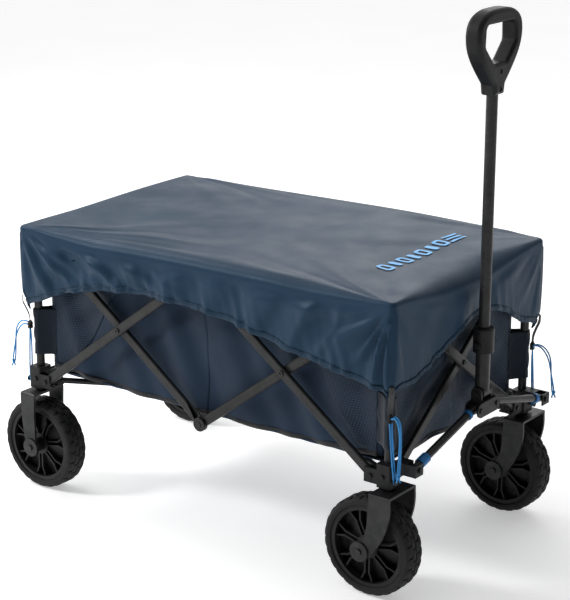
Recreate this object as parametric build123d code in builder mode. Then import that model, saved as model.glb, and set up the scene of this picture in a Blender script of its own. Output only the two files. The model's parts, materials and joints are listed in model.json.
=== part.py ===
from build123d import *
import os
from math import acos, atan2, cos, degrees, hypot, pi, radians, sin

# Folding camp wagon, shown unfolded with its cover on.
# Millimetres, +Z up, +X towards the handle, origin on the ground under the middle of the box.
# Corners are named by side and end: right is -Y, front is +X.

# ---- driving dimensions -------------------------------------------------------------------
POST_SPACING_X = 860.0        # between the front and rear corner posts
POST_SPACING_Y = 470.0        # between the left and right corner posts
POST_SHIFT_X = 11.5           # puts the middle of the whole wagon over the origin
LOWER_PIVOT_Z = 235.0
UPPER_PIVOT_Z = 535.0
SIDE_PIVOT_IN = 28.0          # side scissor pivots, inward of the posts along X
END_PIVOT_IN = 34.0           # end scissor pivots, inward of the posts along Y
OVERALL_Z = 1045.0            # top of the handle grip

GAP = 0.3                     # between pieces that pass or meet each other
PIN_R = 3.0                   # bolts at the scissor pivots
PIN_GAP = 0.15                # radial clearance of a bolt in a bar

BAR_WIDE = 19.0               # flattened tube of the scissors
SIDE_BAR_THICK = 9.0
END_BAR_THICK = 8.0
BAR_WALL = 1.5
SIDE_OUTER_Y = 11.5           # middle of the outer bars, outward of the post axis
SIDE_INNER_Y = 1.9            # middle of the inner bars, outward of the post axis
END_OUTER_X = 3.8             # middle of the outer end bars, outward of the post axis
END_INNER_X = -4.5            # middle of the inner end bars

LOWER_POST_R = 8.5
LOWER_POST_BORE = 7.2
LOWER_POST_TOP = 470.0
UPPER_POST_R = 6.9
UPPER_POST_BOTTOM = 224.0

BLOCK_BOTTOM = 217.0          # corner brackets
BLOCK_TOP = 262.0
BLOCK_HALF = 15.0
CAP_CHAMFER = 5.0             # off the outer corner of the posts' top caps

WHEEL_R = 95.0
TYRE_WIDE = 50.0
RIM_R = 78.0
CASTER_TRAIL = 32.0           # front hubs, behind the swivel axis
REAR_HUB_FORWARD = 5.0        # rear hubs, ahead of the rear posts
FORK_OUT = 43.6               # outer face of a fork leg from the middle of the wheel
FORK_LEG = 5.0
FORK_TOP = 212.0

RAIL_OUT_X = 47.0             # front rails and handle pole, ahead of the front posts
RAIL_R = 7.5
RAIL_CORNER_IN = 10.0         # corner end of a front rail, inward of the post along Y
RAIL_CORNER_Z = 257.0
RAIL_CENTRE_Y = 28.0
RAIL_CENTRE_Z = 310.0

POLE_LOWER_R = 13.5
POLE_UPPER_R = 10.5
POLE_PIVOT_Z = 338.0
COLLAR_BOTTOM = 415.0
COLLAR_TOP = 462.0
COLLAR_R = 19.5
GRIP_BOTTOM = 893.0
GRIP_WIDE = 146.0
GRIP_THICK = 33.0

COVER_HALF_X = 449.0          # from the middle between the posts
COVER_HALF_Y = 259.5
COVER_TOP = 566.0
COVER_THICK = 3.0
COVER_TIP_Z = 385.0

CORD_R = 1.5

# ---- derived dimensions -------------------------------------------------------------------
FRONT_X = POST_SHIFT_X + POST_SPACING_X / 2
MID_X = POST_SHIFT_X
HALF_Y = POST_SPACING_Y / 2
SPAN = POST_SPACING_X / 2 - SIDE_PIVOT_IN
RISE = UPPER_PIVOT_Z - LOWER_PIVOT_Z
BAR_LENGTH = hypot(SPAN, RISE)
POLE_X = FRONT_X + RAIL_OUT_X

CORNERS = {
    "front_right": (1, -1),
    "front_left": (1, 1),
    "rear_right": (-1, -1),
    "rear_left": (-1, 1),
}

os.makedirs("parts", exist_ok=True)


def save(piece, name):
    piece.part.label = name
    export_step(piece.part, f"parts/{name}.step")


def post_xy(end, side):
    """Axis of the corner post: end is 1 in front, -1 behind; side is 1 left, -1 right."""
    return MID_X + end * POST_SPACING_X / 2, side * HALF_Y


def slab(x0, x1, y0, y1, z0, z1, mode=Mode.ADD):
    """A box between two corners given in any order, for use inside a part."""
    with Locations(((x0 + x1) / 2, (y0 + y1) / 2, (z0 + z1) / 2)):
        return Box(abs(x1 - x0), abs(y1 - y0), abs(z1 - z0), mode=mode)


def rod(start, direction, radius, length, mode=Mode.ADD):
    """A round bar from a point along a direction, for use inside a part."""
    with BuildSketch(Plane(origin=start, z_dir=direction)) as section:
        Circle(radius)
    return extrude(section.sketch, amount=length, mode=mode)


# ---- scissor bars -------------------------------------------------------------------------
LUG_CUT_R = 17.0              # half-lapped round the pivots in the middle of a side
FOLDED_SPAN = 91.0            # of one side bar along X, folded
FOLDED_BETWEEN = 180 - 2 * degrees(acos(FOLDED_SPAN / BAR_LENGTH))
LAP_REACH = 62.0              # how far a folded neighbour lies across a bar
DRUM_R = 14.0                 # round cap over a side's lower middle pivot
DRUM_PROUD = 6.0
BOLT_HEAD_R = 5.2


def scissor_bar(name, start, end, normal, thick, thin_start=0, thin_end=0, lap_side=1, drum=0,
                bolt_out=0, end_pin=0):
    """A flattened tube between two pivots, bored at both and at its crossing.

    thin_start and thin_end take half the thickness off an end, on the side of their sign,
    round the pivot and where the neighbouring bar lies across it when the side is folded.
    lap_side says on which side of the bar that neighbour lies.
    drum adds a round cap at the start, bolt_out a crossing bolt, end_pin a pin at the end.
    """
    along = Vector(*end) - Vector(*start)
    length = along.length
    plane = Plane(origin=start, x_dir=along.normalized(), z_dir=normal)
    with BuildPart() as bar:
        with BuildSketch(plane):
            with Locations((length / 2, 0)):
                SlotCenterToCenter(length, BAR_WIDE)
        extrude(amount=thick / 2, both=True)
        rims = bar.faces().filter_by(Axis(start, normal)).edges()
        fillet(rims, thick * 0.34)
        with BuildSketch(plane.offset(-thick / 2 + BAR_WALL)):
            with Locations((length / 2, 0)):
                SlotCenterToCenter(length - 2.4 * BAR_WIDE, BAR_WIDE - 2 * BAR_WALL)
        extrude(amount=thick - 2 * BAR_WALL, mode=Mode.SUBTRACT)
        for reach, cut, heading in ((0, thin_start, 1), (length, thin_end, -1)):
            if cut:
                turn = radians(FOLDED_BETWEEN)
                lap_x = heading * cos(turn) * LAP_REACH / 2
                lap_y = lap_side * sin(turn) * LAP_REACH / 2
                with BuildSketch(plane.offset(-cut * GAP / 2)):
                    with Locations((reach, 0)):
                        Circle(LUG_CUT_R)
                    with Locations((reach + lap_x, lap_y)):
                        Rectangle(LAP_REACH, BAR_WIDE + 3 * GAP,
                                  rotation=degrees(atan2(lap_y, lap_x)))
                extrude(amount=cut * thick, mode=Mode.SUBTRACT)
        if drum:
            with BuildSketch(plane.offset(drum * (GAP / 2))):
                Circle(DRUM_R)
            extrude(amount=drum * (thick / 2 + DRUM_PROUD))
            fillet(bar.faces().sort_by(Axis(start, normal))[-1 if drum > 0 else 0].edges(), 1.5)
        with BuildSketch(plane):
            with Locations((0, 0), (length / 2, 0), (length, 0)):
                Circle(PIN_R + PIN_GAP)
        extrude(amount=2 * thick + 10, both=True, mode=Mode.SUBTRACT)
        if bolt_out:
            pivot_bolt(plane, length / 2, bolt_out, thick / 2 + 0.1, -1.5 * thick - 0.5)
        if end_pin:
            pivot_bolt(plane, length, end_pin, thick / 2 + 0.1, -thick / 2 - GAP, flat=True)
        if drum:
            pivot_bolt(plane, 0, drum, thick / 2 + DRUM_PROUD + 0.1, -thick / 2 - GAP, flat=True)
    save(bar, name)


def pivot_bolt(plane, reach, out, head_at, tail_at, flat=False):
    """A bolt through a bar, its head on the side of the sign of out."""
    with BuildSketch(plane.offset(out * tail_at)) as shank:
        with Locations((reach, 0)):
            Circle(PIN_R)
    extrude(shank.sketch, amount=out * (head_at - tail_at))
    with BuildSketch(plane.offset(out * head_at)) as head:
        with Locations((reach, 0)):
            Circle(BOLT_HEAD_R)
    extrude(head.sketch, amount=out * (1.2 if flat else 2.6))
    if not flat:
        with BuildSketch(plane.offset(out * (head_at + 1.0))) as socket:
            with Locations((reach, 0)):
                RegularPolygon(2.2, 6)
        extrude(socket.sketch, amount=out * 2, mode=Mode.SUBTRACT)


for side_name, side in (("right", -1), ("left", 1)):
    outer = side * (HALF_Y + SIDE_OUTER_Y)
    inner = side * (HALF_Y + SIDE_INNER_Y)
    out = (0, side, 0)
    for end_name, end in (("rear", -1), ("front", 1)):
        corner_x = MID_X + end * SPAN
        thin = 1 if end > 0 else -1
        scissor_bar(
            f"{side_name}_{end_name}_outer_bar",
            (corner_x, outer, LOWER_PIVOT_Z),
            (MID_X, outer, UPPER_PIVOT_Z),
            out, SIDE_BAR_THICK, thin_end=thin, lap_side=-end * side, bolt_out=1,
            end_pin=1 if end < 0 else 0,
        )
        scissor_bar(
            f"{side_name}_{end_name}_inner_bar",
            (MID_X, inner, LOWER_PIVOT_Z),
            (corner_x, inner, UPPER_PIVOT_Z),
            out, SIDE_BAR_THICK, thin_start=-thin, lap_side=-end * side,
            drum=1 if end > 0 else 0,
        )

for end_name, end in (("rear", -1), ("front", 1)):
    for layer, low_side in ((END_OUTER_X, 1), (END_INNER_X, -1)):
        x = MID_X + end * (POST_SPACING_X / 2 + layer)
        outside = layer > 0
        scissor_bar(
            f"{end_name}_{'outer' if outside else 'inner'}_bar",
            (x, low_side * (HALF_Y - END_PIVOT_IN), LOWER_PIVOT_Z),
            (x, -low_side * (HALF_Y - END_PIVOT_IN), UPPER_PIVOT_Z),
            (end, 0, 0), END_BAR_THICK, bolt_out=1 if outside else 0,
        )

# ---- corner brackets, posts and their top caps ---------------------------------------------
PLATE = 3.0
SIDE_PLATE_OUT = SIDE_OUTER_Y + SIDE_BAR_THICK / 2 + GAP + PLATE
SIDE_PLATE_IN = SIDE_OUTER_Y - SIDE_BAR_THICK / 2 - GAP
PEG_IN = -11.0
PEG_Z = 232.0
PEG_R = 2.5
STEM_R = 6.0
STRUT_R = 6.0
STRUT_Z = 227.0
STRUT_PIVOT_IN = 24.0
STRUT_SHORT = 58.0            # left free at the middle of the floor


def corner_box(piece_end, piece_side, u0, u1, v0, v1, z0, z1, mode=Mode.ADD):
    """A box by the corner post: u runs inward along X and v inward along Y from its axis."""
    px, py = post_xy(piece_end, piece_side)
    slab(px - piece_end * u0, px - piece_end * u1,
         py - piece_side * v0, py - piece_side * v1, z0, z1, mode=mode)


def corner_rod(piece_end, piece_side, u, v, z, direction, radius, length, mode=Mode.ADD):
    """A round bar by the corner post, its direction given in the same inward terms."""
    px, py = post_xy(piece_end, piece_side)
    start = (px - piece_end * u, py - piece_side * v, z)
    du, dv, dz = direction
    rod(start, (-piece_end * du, -piece_side * dv, dz), radius, length, mode=mode)


def bolt_on(piece_end, piece_side, u, v, z, direction, head, length):
    """A bolt that runs from its head's seat against the given outward direction."""
    du, dv, dz = direction
    corner_rod(piece_end, piece_side, u, v, z, direction, 5.0, head)
    corner_rod(piece_end, piece_side, u, v, z, (-du, -dv, -dz), PIN_R, length)


def end_bar_layer(side):
    """Where along X the end bar lies whose lower pivot is on this side."""
    return END_OUTER_X if side > 0 else END_INNER_X


def strut_frame(end, side):
    """Pivot of a floor strut, its direction to the middle of the floor, and its pin's."""
    px, py = post_xy(end, side)
    pivot = Vector(px - end * STRUT_PIVOT_IN, py - side * STRUT_PIVOT_IN, STRUT_Z)
    inward = Vector(MID_X - pivot.X, -pivot.Y, 0).normalized()
    return pivot, inward, Vector(-inward.Y, inward.X, 0)


for corner, (end, side) in CORNERS.items():
    layer = -end_bar_layer(side)
    near = layer - END_BAR_THICK / 2 - GAP
    far = layer + END_BAR_THICK / 2 + GAP
    with BuildPart() as bracket:
        corner_box(end, side, -BLOCK_HALF, BLOCK_HALF, -SIDE_PLATE_OUT, BLOCK_HALF,
                   BLOCK_BOTTOM, BLOCK_TOP)
        fillet(bracket.edges().filter_by(Axis.Z), 3.5)
        corner_box(end, side, 8, 41, -SIDE_PLATE_OUT, -SIDE_PLATE_OUT + PLATE, 222, 250)
        corner_box(end, side, 8, 41, -SIDE_PLATE_IN, -SIDE_PLATE_IN + PLATE, 222, 250)
        corner_box(end, side, near - PLATE, near, 8, 46, 222, 249)
        corner_box(end, side, far, far + PLATE, 8, 46, 222, 249)
        corner_box(end, side, 5, 31, 5, 33, BLOCK_BOTTOM, STRUT_Z - STRUT_R - 0.5)
        pivot, inward, across = strut_frame(end, side)
        for ear in (STRUT_R + 0.4, -STRUT_R - 0.4 - PLATE):
            with BuildSketch(Plane(origin=pivot + across * ear, x_dir=inward, z_dir=across)):
                Rectangle(15, 15)
                Circle(2.6, mode=Mode.SUBTRACT)
            extrude(amount=PLATE)
        rod(pivot - across * 11, across, 2.5, 22)
        if end > 0:
            corner_box(end, side, -38.4, -13, 0, 21, 246, 268)
            corner_box(end, side, -59, -13, -4, -1, 246, 268)
            corner_box(end, side, -38.4, -13, -4, 0, 246, 268)
            corner_box(end, side, -59, -55.9, -4, 21, 246, 268)
            corner_rod(end, side, -38.4 + 3, RAIL_CORNER_IN, RAIL_CORNER_Z, (-1, 0, 0),
                       PIN_R + PIN_GAP, 30, mode=Mode.SUBTRACT)
        corner_rod(end, side, 0, 0, UPPER_POST_BOTTOM - 2, (0, 0, 1), LOWER_POST_R + 0.02, 50,
                   mode=Mode.SUBTRACT)
        corner_rod(end, side, 0, 0, BLOCK_BOTTOM - 1, (0, 0, 1), STEM_R + 0.08, 8,
                   mode=Mode.SUBTRACT)
        corner_rod(end, side, SIDE_PIVOT_IN, -30, LOWER_PIVOT_Z, (0, 1, 0),
                   PIN_R + PIN_GAP, 30, mode=Mode.SUBTRACT)
        corner_rod(end, side, -20, END_PIVOT_IN, LOWER_PIVOT_Z, (1, 0, 0),
                   PIN_R + PIN_GAP, 40, mode=Mode.SUBTRACT)
        # bolts: side bar, end bar, post, front rail
        bolt_on(end, side, SIDE_PIVOT_IN, -SIDE_PLATE_OUT - 0.1, LOWER_PIVOT_Z, (0, -1, 0),
                3, 17)
        bolt_on(end, side, near - PLATE - 0.1, END_PIVOT_IN, LOWER_PIVOT_Z, (-1, 0, 0), 2.4, 15)
        corner_rod(end, side, 2, -SIDE_PLATE_OUT - 0.1, LOWER_PIVOT_Z + 3, (0, -1, 0), 5, 3)
        if end > 0:
            bolt_on(end, side, -59.1, RAIL_CORNER_IN, RAIL_CORNER_Z, (-1, 0, 0), 3, 22)
        # button that the cover's elastic hooks under
        corner_rod(end, side, -BLOCK_HALF, PEG_IN, PEG_Z, (-1, 0, 0), PEG_R, 7.5)
        corner_rod(end, side, -BLOCK_HALF - 7.5, PEG_IN, PEG_Z, (-1, 0, 0), 5.5, 1.6)
    save(bracket, f"{corner}_bracket")

    x, y = post_xy(end, side)
    with BuildPart() as lower_post:
        with BuildSketch(Plane.XY.offset(UPPER_POST_BOTTOM - 1.9)):
            with Locations((x, y)):
                Circle(LOWER_POST_R)
                Circle(LOWER_POST_BORE, mode=Mode.SUBTRACT)
        extrude(amount=LOWER_POST_TOP - UPPER_POST_BOTTOM + 1.9)
    save(lower_post, f"{corner}_lower_post")

    cap_z = UPPER_PIVOT_Z
    upper_layer = -(END_INNER_X if side > 0 else END_OUTER_X)
    u_near = upper_layer - END_BAR_THICK / 2 - GAP
    u_far = upper_layer + END_BAR_THICK / 2 + GAP
    v_out = -(SIDE_INNER_Y + SIDE_BAR_THICK / 2 + GAP)
    v_in = -(SIDE_INNER_Y - SIDE_BAR_THICK / 2 - GAP)
    with BuildPart() as upper_post:
        with BuildSketch(Plane.XY.offset(UPPER_POST_BOTTOM)):
            with Locations((x, y)):
                Circle(UPPER_POST_R)
        extrude(amount=cap_z - UPPER_POST_BOTTOM)
        with BuildSketch(Plane.XY.offset(UPPER_POST_BOTTOM - 1)):
            with Locations((x, y)):
                Circle(UPPER_POST_R - 1.4)
        extrude(amount=cap_z - UPPER_POST_BOTTOM - 10, mode=Mode.SUBTRACT)
        corner_box(end, side, -10, 13, -10, 13, cap_z - 17, cap_z + 13)
        upright = upper_post.edges().filter_by(Axis.Z)
        beyond = (x + end * POST_SPACING_Y, y + side * POST_SPACING_Y, cap_z)
        chamfer(upright.sort_by_distance(beyond)[0], CAP_CHAMFER)
        fillet(upper_post.faces().sort_by(Axis.Z)[-1].edges(), 4)
        corner_box(end, side, 8, 38, v_out - PLATE, v_out, cap_z - 11, cap_z + 11)
        corner_box(end, side, 8, 38, v_in, v_in + PLATE, cap_z - 11, cap_z + 11)
        corner_box(end, side, u_near - PLATE, u_near, 8, 44, cap_z - 11, cap_z + 11)
        corner_box(end, side, u_far, u_far + PLATE, 8, 44, cap_z - 11, cap_z + 11)
        corner_rod(end, side, SIDE_PIVOT_IN, -20, cap_z, (0, 1, 0), PIN_R + PIN_GAP, 30,
                   mode=Mode.SUBTRACT)
        corner_rod(end, side, -20, END_PIVOT_IN, cap_z, (1, 0, 0), PIN_R + PIN_GAP, 34,
                   mode=Mode.SUBTRACT)
        bolt_on(end, side, SIDE_PIVOT_IN, v_out - PLATE - 0.1, cap_z, (0, -1, 0), 2, 15)
        bolt_on(end, side, u_near - PLATE - 0.1, END_PIVOT_IN, cap_z, (-1, 0, 0), 2, 14)
    save(upper_post, f"{corner}_upper_post")

# ---- floor struts ---------------------------------------------------------------------------
for corner, (end, side) in CORNERS.items():
    pivot, inward, across = strut_frame(end, side)
    reach = hypot(MID_X - pivot.X, pivot.Y) - STRUT_SHORT
    with BuildPart() as strut:
        rod(pivot, inward, STRUT_R, reach)
        rod(pivot - across * (STRUT_R - 0.2), across, STRUT_R, 2 * STRUT_R - 0.4)
        rod(pivot + inward * 9, inward, STRUT_R - 1.3, reach, mode=Mode.SUBTRACT)
        rod(pivot - across * 10, across, 2.6, 20, mode=Mode.SUBTRACT)
    save(strut, f"{corner}_floor_strut")

# ---- forks, wheels --------------------------------------------------------------------------
AXLE_R = 5.0
AXLE_GAP = 0.1
BOSS_R = 19.0
BOSS_PROUD = 3.0
HUB_HALF = 36.0
HUB_R = 14.0
BUSH_LONG = 12.0              # bearing bushes in both ends of the hub
BUSH_R = 8.0
SPOKES = 7                    # pairs of ribs
RIB_WIDE = 3.2
RIB_OUT = 17.0                # ribs, from the middle of the wheel
BED_R = 70.0                  # inside of the ring that carries the tyre
WEB_HALF = 2.2
FORK_HALF_X = 19.0            # rear forks, and half a leg
CASTER_BACK = 14.0            # top plate of a front fork, behind and ahead of its swivel axis
CASTER_AHEAD = 30.0
LEG_BEND_Z = FORK_TOP - 12
SWIVEL_R = 13.0
NUT_R = 6.5


def leg_edges(top, hub_x):
    """Back and front edges of a fork leg in X and Z, from under the top plate to its boss."""
    if hub_x < top:
        back = [(top - CASTER_BACK, LEG_BEND_Z), (top - 16, 165), (top - 20, 135), (hub_x, 112)]
        front = [(top + CASTER_AHEAD, LEG_BEND_Z), (top + 27, 160), (top + 8, 115),
                 (hub_x + 12, 80)]
    else:
        back = [(top - FORK_HALF_X, LEG_BEND_Z), (top - 17, 150), (hub_x - 14, WHEEL_R)]
        front = [(top + FORK_HALF_X, LEG_BEND_Z), (top + 17, 150), (hub_x + 14, WHEEL_R)]
    return back, front


def ring_section(inner, outer, half, half_outer=None):
    """Half section of a round piece about the hub, in Y and radius, from inner to outer."""
    if half_outer is None:
        half_outer = half
    Polygon((-half, inner), (half, inner), (half_outer, outer), (-half_outer, outer), align=None)


for corner, (end, side) in CORNERS.items():
    x, y = post_xy(end, side)
    hub_x = x - CASTER_TRAIL if end > 0 else x + REAR_HUB_FORWARD
    back, front = leg_edges(x, hub_x)
    with BuildPart() as fork:
        for leg in (-1, 1):
            with BuildSketch(Plane(origin=(0, y + leg * (FORK_OUT - FORK_LEG), 0),
                                   x_dir=(1, 0, 0), z_dir=(0, -1, 0))):
                with BuildLine():
                    Spline(*back)
                    Polyline(back[-1], (hub_x, WHEEL_R), front[-1])
                    Spline(*front)
                    Polyline(back[0], (back[0][0], FORK_TOP), (front[0][0], FORK_TOP), front[0])
                make_face()
            extrude(amount=-leg * FORK_LEG)
            rod((hub_x, y + leg * (FORK_OUT - FORK_LEG), WHEEL_R), (0, leg, 0), BOSS_R,
                FORK_LEG + BOSS_PROUD)
        slab(back[0][0], front[0][0], y - FORK_OUT, y + FORK_OUT, FORK_TOP - FORK_LEG, FORK_TOP)
        tops = fork.edges().filter_by(Axis.X).group_by(Axis.Z)[-1]
        fillet(tops, 4)
        rod((x, y, FORK_TOP - 1), (0, 0, 1), SWIVEL_R, BLOCK_BOTTOM - FORK_TOP + 0.6)
        rod((x, y, FORK_TOP - 1), (0, 0, 1), STEM_R, 10.4)
        rod((hub_x, y - 60, WHEEL_R), (0, 1, 0), AXLE_R + AXLE_GAP, 120, mode=Mode.SUBTRACT)
        # axle bolt and nut
        outer_face = FORK_OUT + BOSS_PROUD + 0.1
        rod((hub_x, y - outer_face, WHEEL_R), (0, 1, 0), AXLE_R, 2 * outer_face)
        for leg in (-1, 1):
            with BuildSketch(Plane(origin=(hub_x, y + leg * outer_face, WHEEL_R),
                                   z_dir=(0, leg, 0))) as nut:
                RegularPolygon(NUT_R, 6)
            extrude(nut.sketch, amount=3.2)
    save(fork, f"{corner}_fork")

    with BuildPart() as tyre:
        with BuildSketch(Plane(origin=(hub_x, y, WHEEL_R), x_dir=(0, 1, 0), z_dir=(-1, 0, 0))):
            with BuildLine():
                half = TYRE_WIDE / 2
                Line((-half + 4, RIM_R), (half - 4, RIM_R))
                Line((half - 4, RIM_R), (half - 1, RIM_R + 4))
                ThreePointArc((half - 1, RIM_R + 4), (half, RIM_R + 9), (half - 4, WHEEL_R - 2))
                ThreePointArc((half - 4, WHEEL_R - 2), (0, WHEEL_R), (4 - half, WHEEL_R - 2))
                ThreePointArc((4 - half, WHEEL_R - 2), (-half, RIM_R + 9), (1 - half, RIM_R + 4))
                Line((1 - half, RIM_R + 4), (-half + 4, RIM_R))
            make_face()
        revolve(axis=Axis((hub_x, y, WHEEL_R), (0, 1, 0)))
    save(tyre, f"{corner}_tyre")

    with BuildPart() as rim:
        with BuildSketch(Plane(origin=(hub_x, y, WHEEL_R), x_dir=(0, 1, 0), z_dir=(-1, 0, 0))):
            ring_section(BED_R, RIM_R - 0.1, TYRE_WIDE / 2 - 4)
            ring_section(HUB_R, 58, 12, WEB_HALF)
            ring_section(57, BED_R + 1, WEB_HALF)
            ring_section(8, HUB_R, HUB_HALF)
            ring_section(HUB_R - 1, 22, 18)
        revolve(axis=Axis((hub_x, y, WHEEL_R), (0, 1, 0)))
        with BuildSketch(Plane(origin=(hub_x, y, WHEEL_R), x_dir=(1, 0, 0), z_dir=(0, -1, 0))):
            with PolarLocations(0, SPOKES, start_angle=12):
                with Locations((36, 4.5), (36, -4.5)):
                    Rectangle(34, RIB_WIDE)
                with Locations(Location((60.5, 8.6), 23), Location((60.5, -8.6), -23)):
                    Rectangle(23, RIB_WIDE)
            Circle(BED_R + 1, mode=Mode.INTERSECT)
        extrude(amount=RIB_OUT, both=True)
        rod((hub_x, y - 40, WHEEL_R), (0, 1, 0), BUSH_R + 0.1, 80, mode=Mode.SUBTRACT)
        for flank in (-1, 1):
            with BuildSketch(Plane(origin=(hub_x, y + flank * (HUB_HALF - BUSH_LONG), WHEEL_R),
                                   z_dir=(0, flank, 0))):
                Circle(BUSH_R)
                Circle(AXLE_R + 0.08, mode=Mode.SUBTRACT)
            extrude(amount=BUSH_LONG)
    save(rim, f"{corner}_rim")

# ---- front rails and the bracket that carries the handle --------------------------------------
RAIL_RUN = hypot(HALF_Y - RAIL_CORNER_IN - RAIL_CENTRE_Y, RAIL_CENTRE_Z - RAIL_CORNER_Z)
OPEN_END_SHORT = 12.0         # the left rail stops short of its bolt at the middle

for side_name, side in (("right", -1), ("left", 1)):
    corner_end = Vector(POLE_X, side * (HALF_Y - RAIL_CORNER_IN), RAIL_CORNER_Z)
    centre_end = Vector(POLE_X, side * RAIL_CENTRE_Y, RAIL_CENTRE_Z)
    along = (centre_end - corner_end).normalized()
    stop = 6 if side < 0 else -OPEN_END_SHORT
    with BuildPart() as rail:
        rod(corner_end - along * 6, along, RAIL_R, RAIL_RUN + 6 + stop)
        rod(corner_end + along * 12, along, RAIL_R - 1.5, RAIL_RUN - 24, mode=Mode.SUBTRACT)
        rod(corner_end - Vector(20, 0, 0), (1, 0, 0), PIN_R + PIN_GAP, 40, mode=Mode.SUBTRACT)
        rod(centre_end - Vector(20, 0, 0), (1, 0, 0), PIN_R + PIN_GAP, 40, mode=Mode.SUBTRACT)
    save(rail, f"front_{side_name}_rail")

    with BuildPart() as rings:
        spots = [(19, 12)] if side > 0 else [(17, 23), (RAIL_RUN - 24, 7)]
        for at, wide in spots:
            with BuildSketch(Plane(origin=corner_end + along * at, z_dir=along)):
                Circle(RAIL_R + 2.2)
                Circle(RAIL_R + 0.1, mode=Mode.SUBTRACT)
            extrude(amount=wide)
    save(rings, f"front_{side_name}_rail_rings")

PLATE_HALF_Y = 40.0
PLATE_HALF_Z = 14.0
FRONT_PLATE_X = POLE_X + POLE_LOWER_R + 0.4
with BuildPart() as centre_bracket:
    rear_plate_x = POLE_X - RAIL_R - 5
    with BuildSketch(Plane(origin=(rear_plate_x, 0, RAIL_CENTRE_Z), x_dir=(0, 1, 0),
                           z_dir=(1, 0, 0))):
        SlotOverall(2 * PLATE_HALF_Y - 4, 2 * PLATE_HALF_Z - 2)
    extrude(amount=3)
    slab(rear_plate_x, FRONT_PLATE_X - 0.1, -5, 5, RAIL_CENTRE_Z - 14, RAIL_CENTRE_Z + 12)
    slab(rear_plate_x, FRONT_PLATE_X - 0.1, -20.5, 20.5, RAIL_CENTRE_Z + 11, RAIL_CENTRE_Z + 14)
    for ear in (-1, 1):
        with BuildSketch(Plane(origin=(POLE_X, ear * (POLE_LOWER_R + 0.8), POLE_PIVOT_Z),
                               x_dir=(1, 0, 0), z_dir=(0, ear, 0))):
            Circle(11)
            with Locations((0, -8 if ear < 0 else 8)):
                Rectangle(22, 16)
        extrude(amount=6)
    rod((POLE_X, -30, POLE_PIVOT_Z), (0, 1, 0), 4.1, 60, mode=Mode.SUBTRACT)
    rod((rear_plate_x - 5, -RAIL_CENTRE_Y, RAIL_CENTRE_Z), (1, 0, 0), PIN_R + PIN_GAP, 20,
        mode=Mode.SUBTRACT)
    with BuildSketch(Plane(origin=(FRONT_PLATE_X, 0, RAIL_CENTRE_Z), x_dir=(0, 1, 0),
                           z_dir=(1, 0, 0))):
        SlotOverall(2 * PLATE_HALF_Y, 2 * PLATE_HALF_Z)
        with Locations((-RAIL_CENTRE_Y, 0), (RAIL_CENTRE_Y, 0)):
            Circle(PIN_R + PIN_GAP, mode=Mode.SUBTRACT)
    extrude(amount=3)
    # bolts: the right one carries its rail, the left one only its plate
    for bolt_side, shank in ((-1, 29), (1, 4)):
        head = (FRONT_PLATE_X + 3.1, bolt_side * RAIL_CENTRE_Y, RAIL_CENTRE_Z)
        rod(head, (1, 0, 0), 5, 2.2)
        rod(head, (-1, 0, 0), PIN_R, shank)
    # handle pin
    rod((POLE_X, -22.5, POLE_PIVOT_Z), (0, 1, 0), 4, 45)
save(centre_bracket, "centre_bracket")

# ---- handle ---------------------------------------------------------------------------------
PLUG_TOP = 350.0
INNER_BOTTOM = 412.0
BUTTON_Z = 431.0
BUTTON_R = 6.0

with BuildPart() as lower_tube:
    rod((POLE_X, 0, POLE_PIVOT_Z), (0, 0, 1), POLE_LOWER_R, 112)
    rod((POLE_X, -POLE_LOWER_R + 1, POLE_PIVOT_Z), (0, 1, 0), POLE_LOWER_R - 0.5,
        2 * POLE_LOWER_R - 2)
    rod((POLE_X, 0, PLUG_TOP), (0, 0, 1), POLE_UPPER_R + GAP, 120, mode=Mode.SUBTRACT)
    rod((POLE_X, -20, POLE_PIVOT_Z), (0, 1, 0), 4.08, 40, mode=Mode.SUBTRACT)
save(lower_tube, "handle_lower_tube")

with BuildPart() as collar:
    with BuildSketch(Plane.XY.offset(COLLAR_BOTTOM)):
        with Locations((POLE_X, 0)):
            Circle(COLLAR_R)
    extrude(amount=COLLAR_TOP - COLLAR_BOTTOM)
    fillet(collar.faces().sort_by(Axis.Z)[-1].edges(), 2.5)
    fillet(collar.faces().sort_by(Axis.Z)[0].edges(), 1.5)
    rod((POLE_X, 0, COLLAR_BOTTOM - 1), (0, 0, 1), POLE_LOWER_R + 0.05, 36.3,
        mode=Mode.SUBTRACT)
    rod((POLE_X, 0, COLLAR_BOTTOM), (0, 0, 1), POLE_UPPER_R + GAP, 60, mode=Mode.SUBTRACT)
    rod((POLE_X, -12, BUTTON_Z), (0, -1, 0), BUTTON_R + GAP, 12, mode=Mode.SUBTRACT)
save(collar, "handle_collar")

with BuildPart() as button:
    rod((POLE_X, -POLE_LOWER_R - 3.3, BUTTON_Z), (0, -1, 0), BUTTON_R, 6)
    fillet(button.faces().sort_by(Axis.Y)[0].edges(), 1.2)
save(button, "handle_button")

with BuildPart() as upper_tube:
    with BuildSketch(Plane.XY.offset(INNER_BOTTOM)):
        with Locations((POLE_X, 0)):
            Circle(POLE_UPPER_R)
            Circle(POLE_UPPER_R - 1.5, mode=Mode.SUBTRACT)
    extrude(amount=GRIP_BOTTOM + 24 - INNER_BOTTOM)
save(upper_tube, "handle_upper_tube")

YOKE_SPLIT = OVERALL_Z - 88.0
SCREW_Z = (GRIP_BOTTOM + 10, GRIP_BOTTOM + 42)

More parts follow.
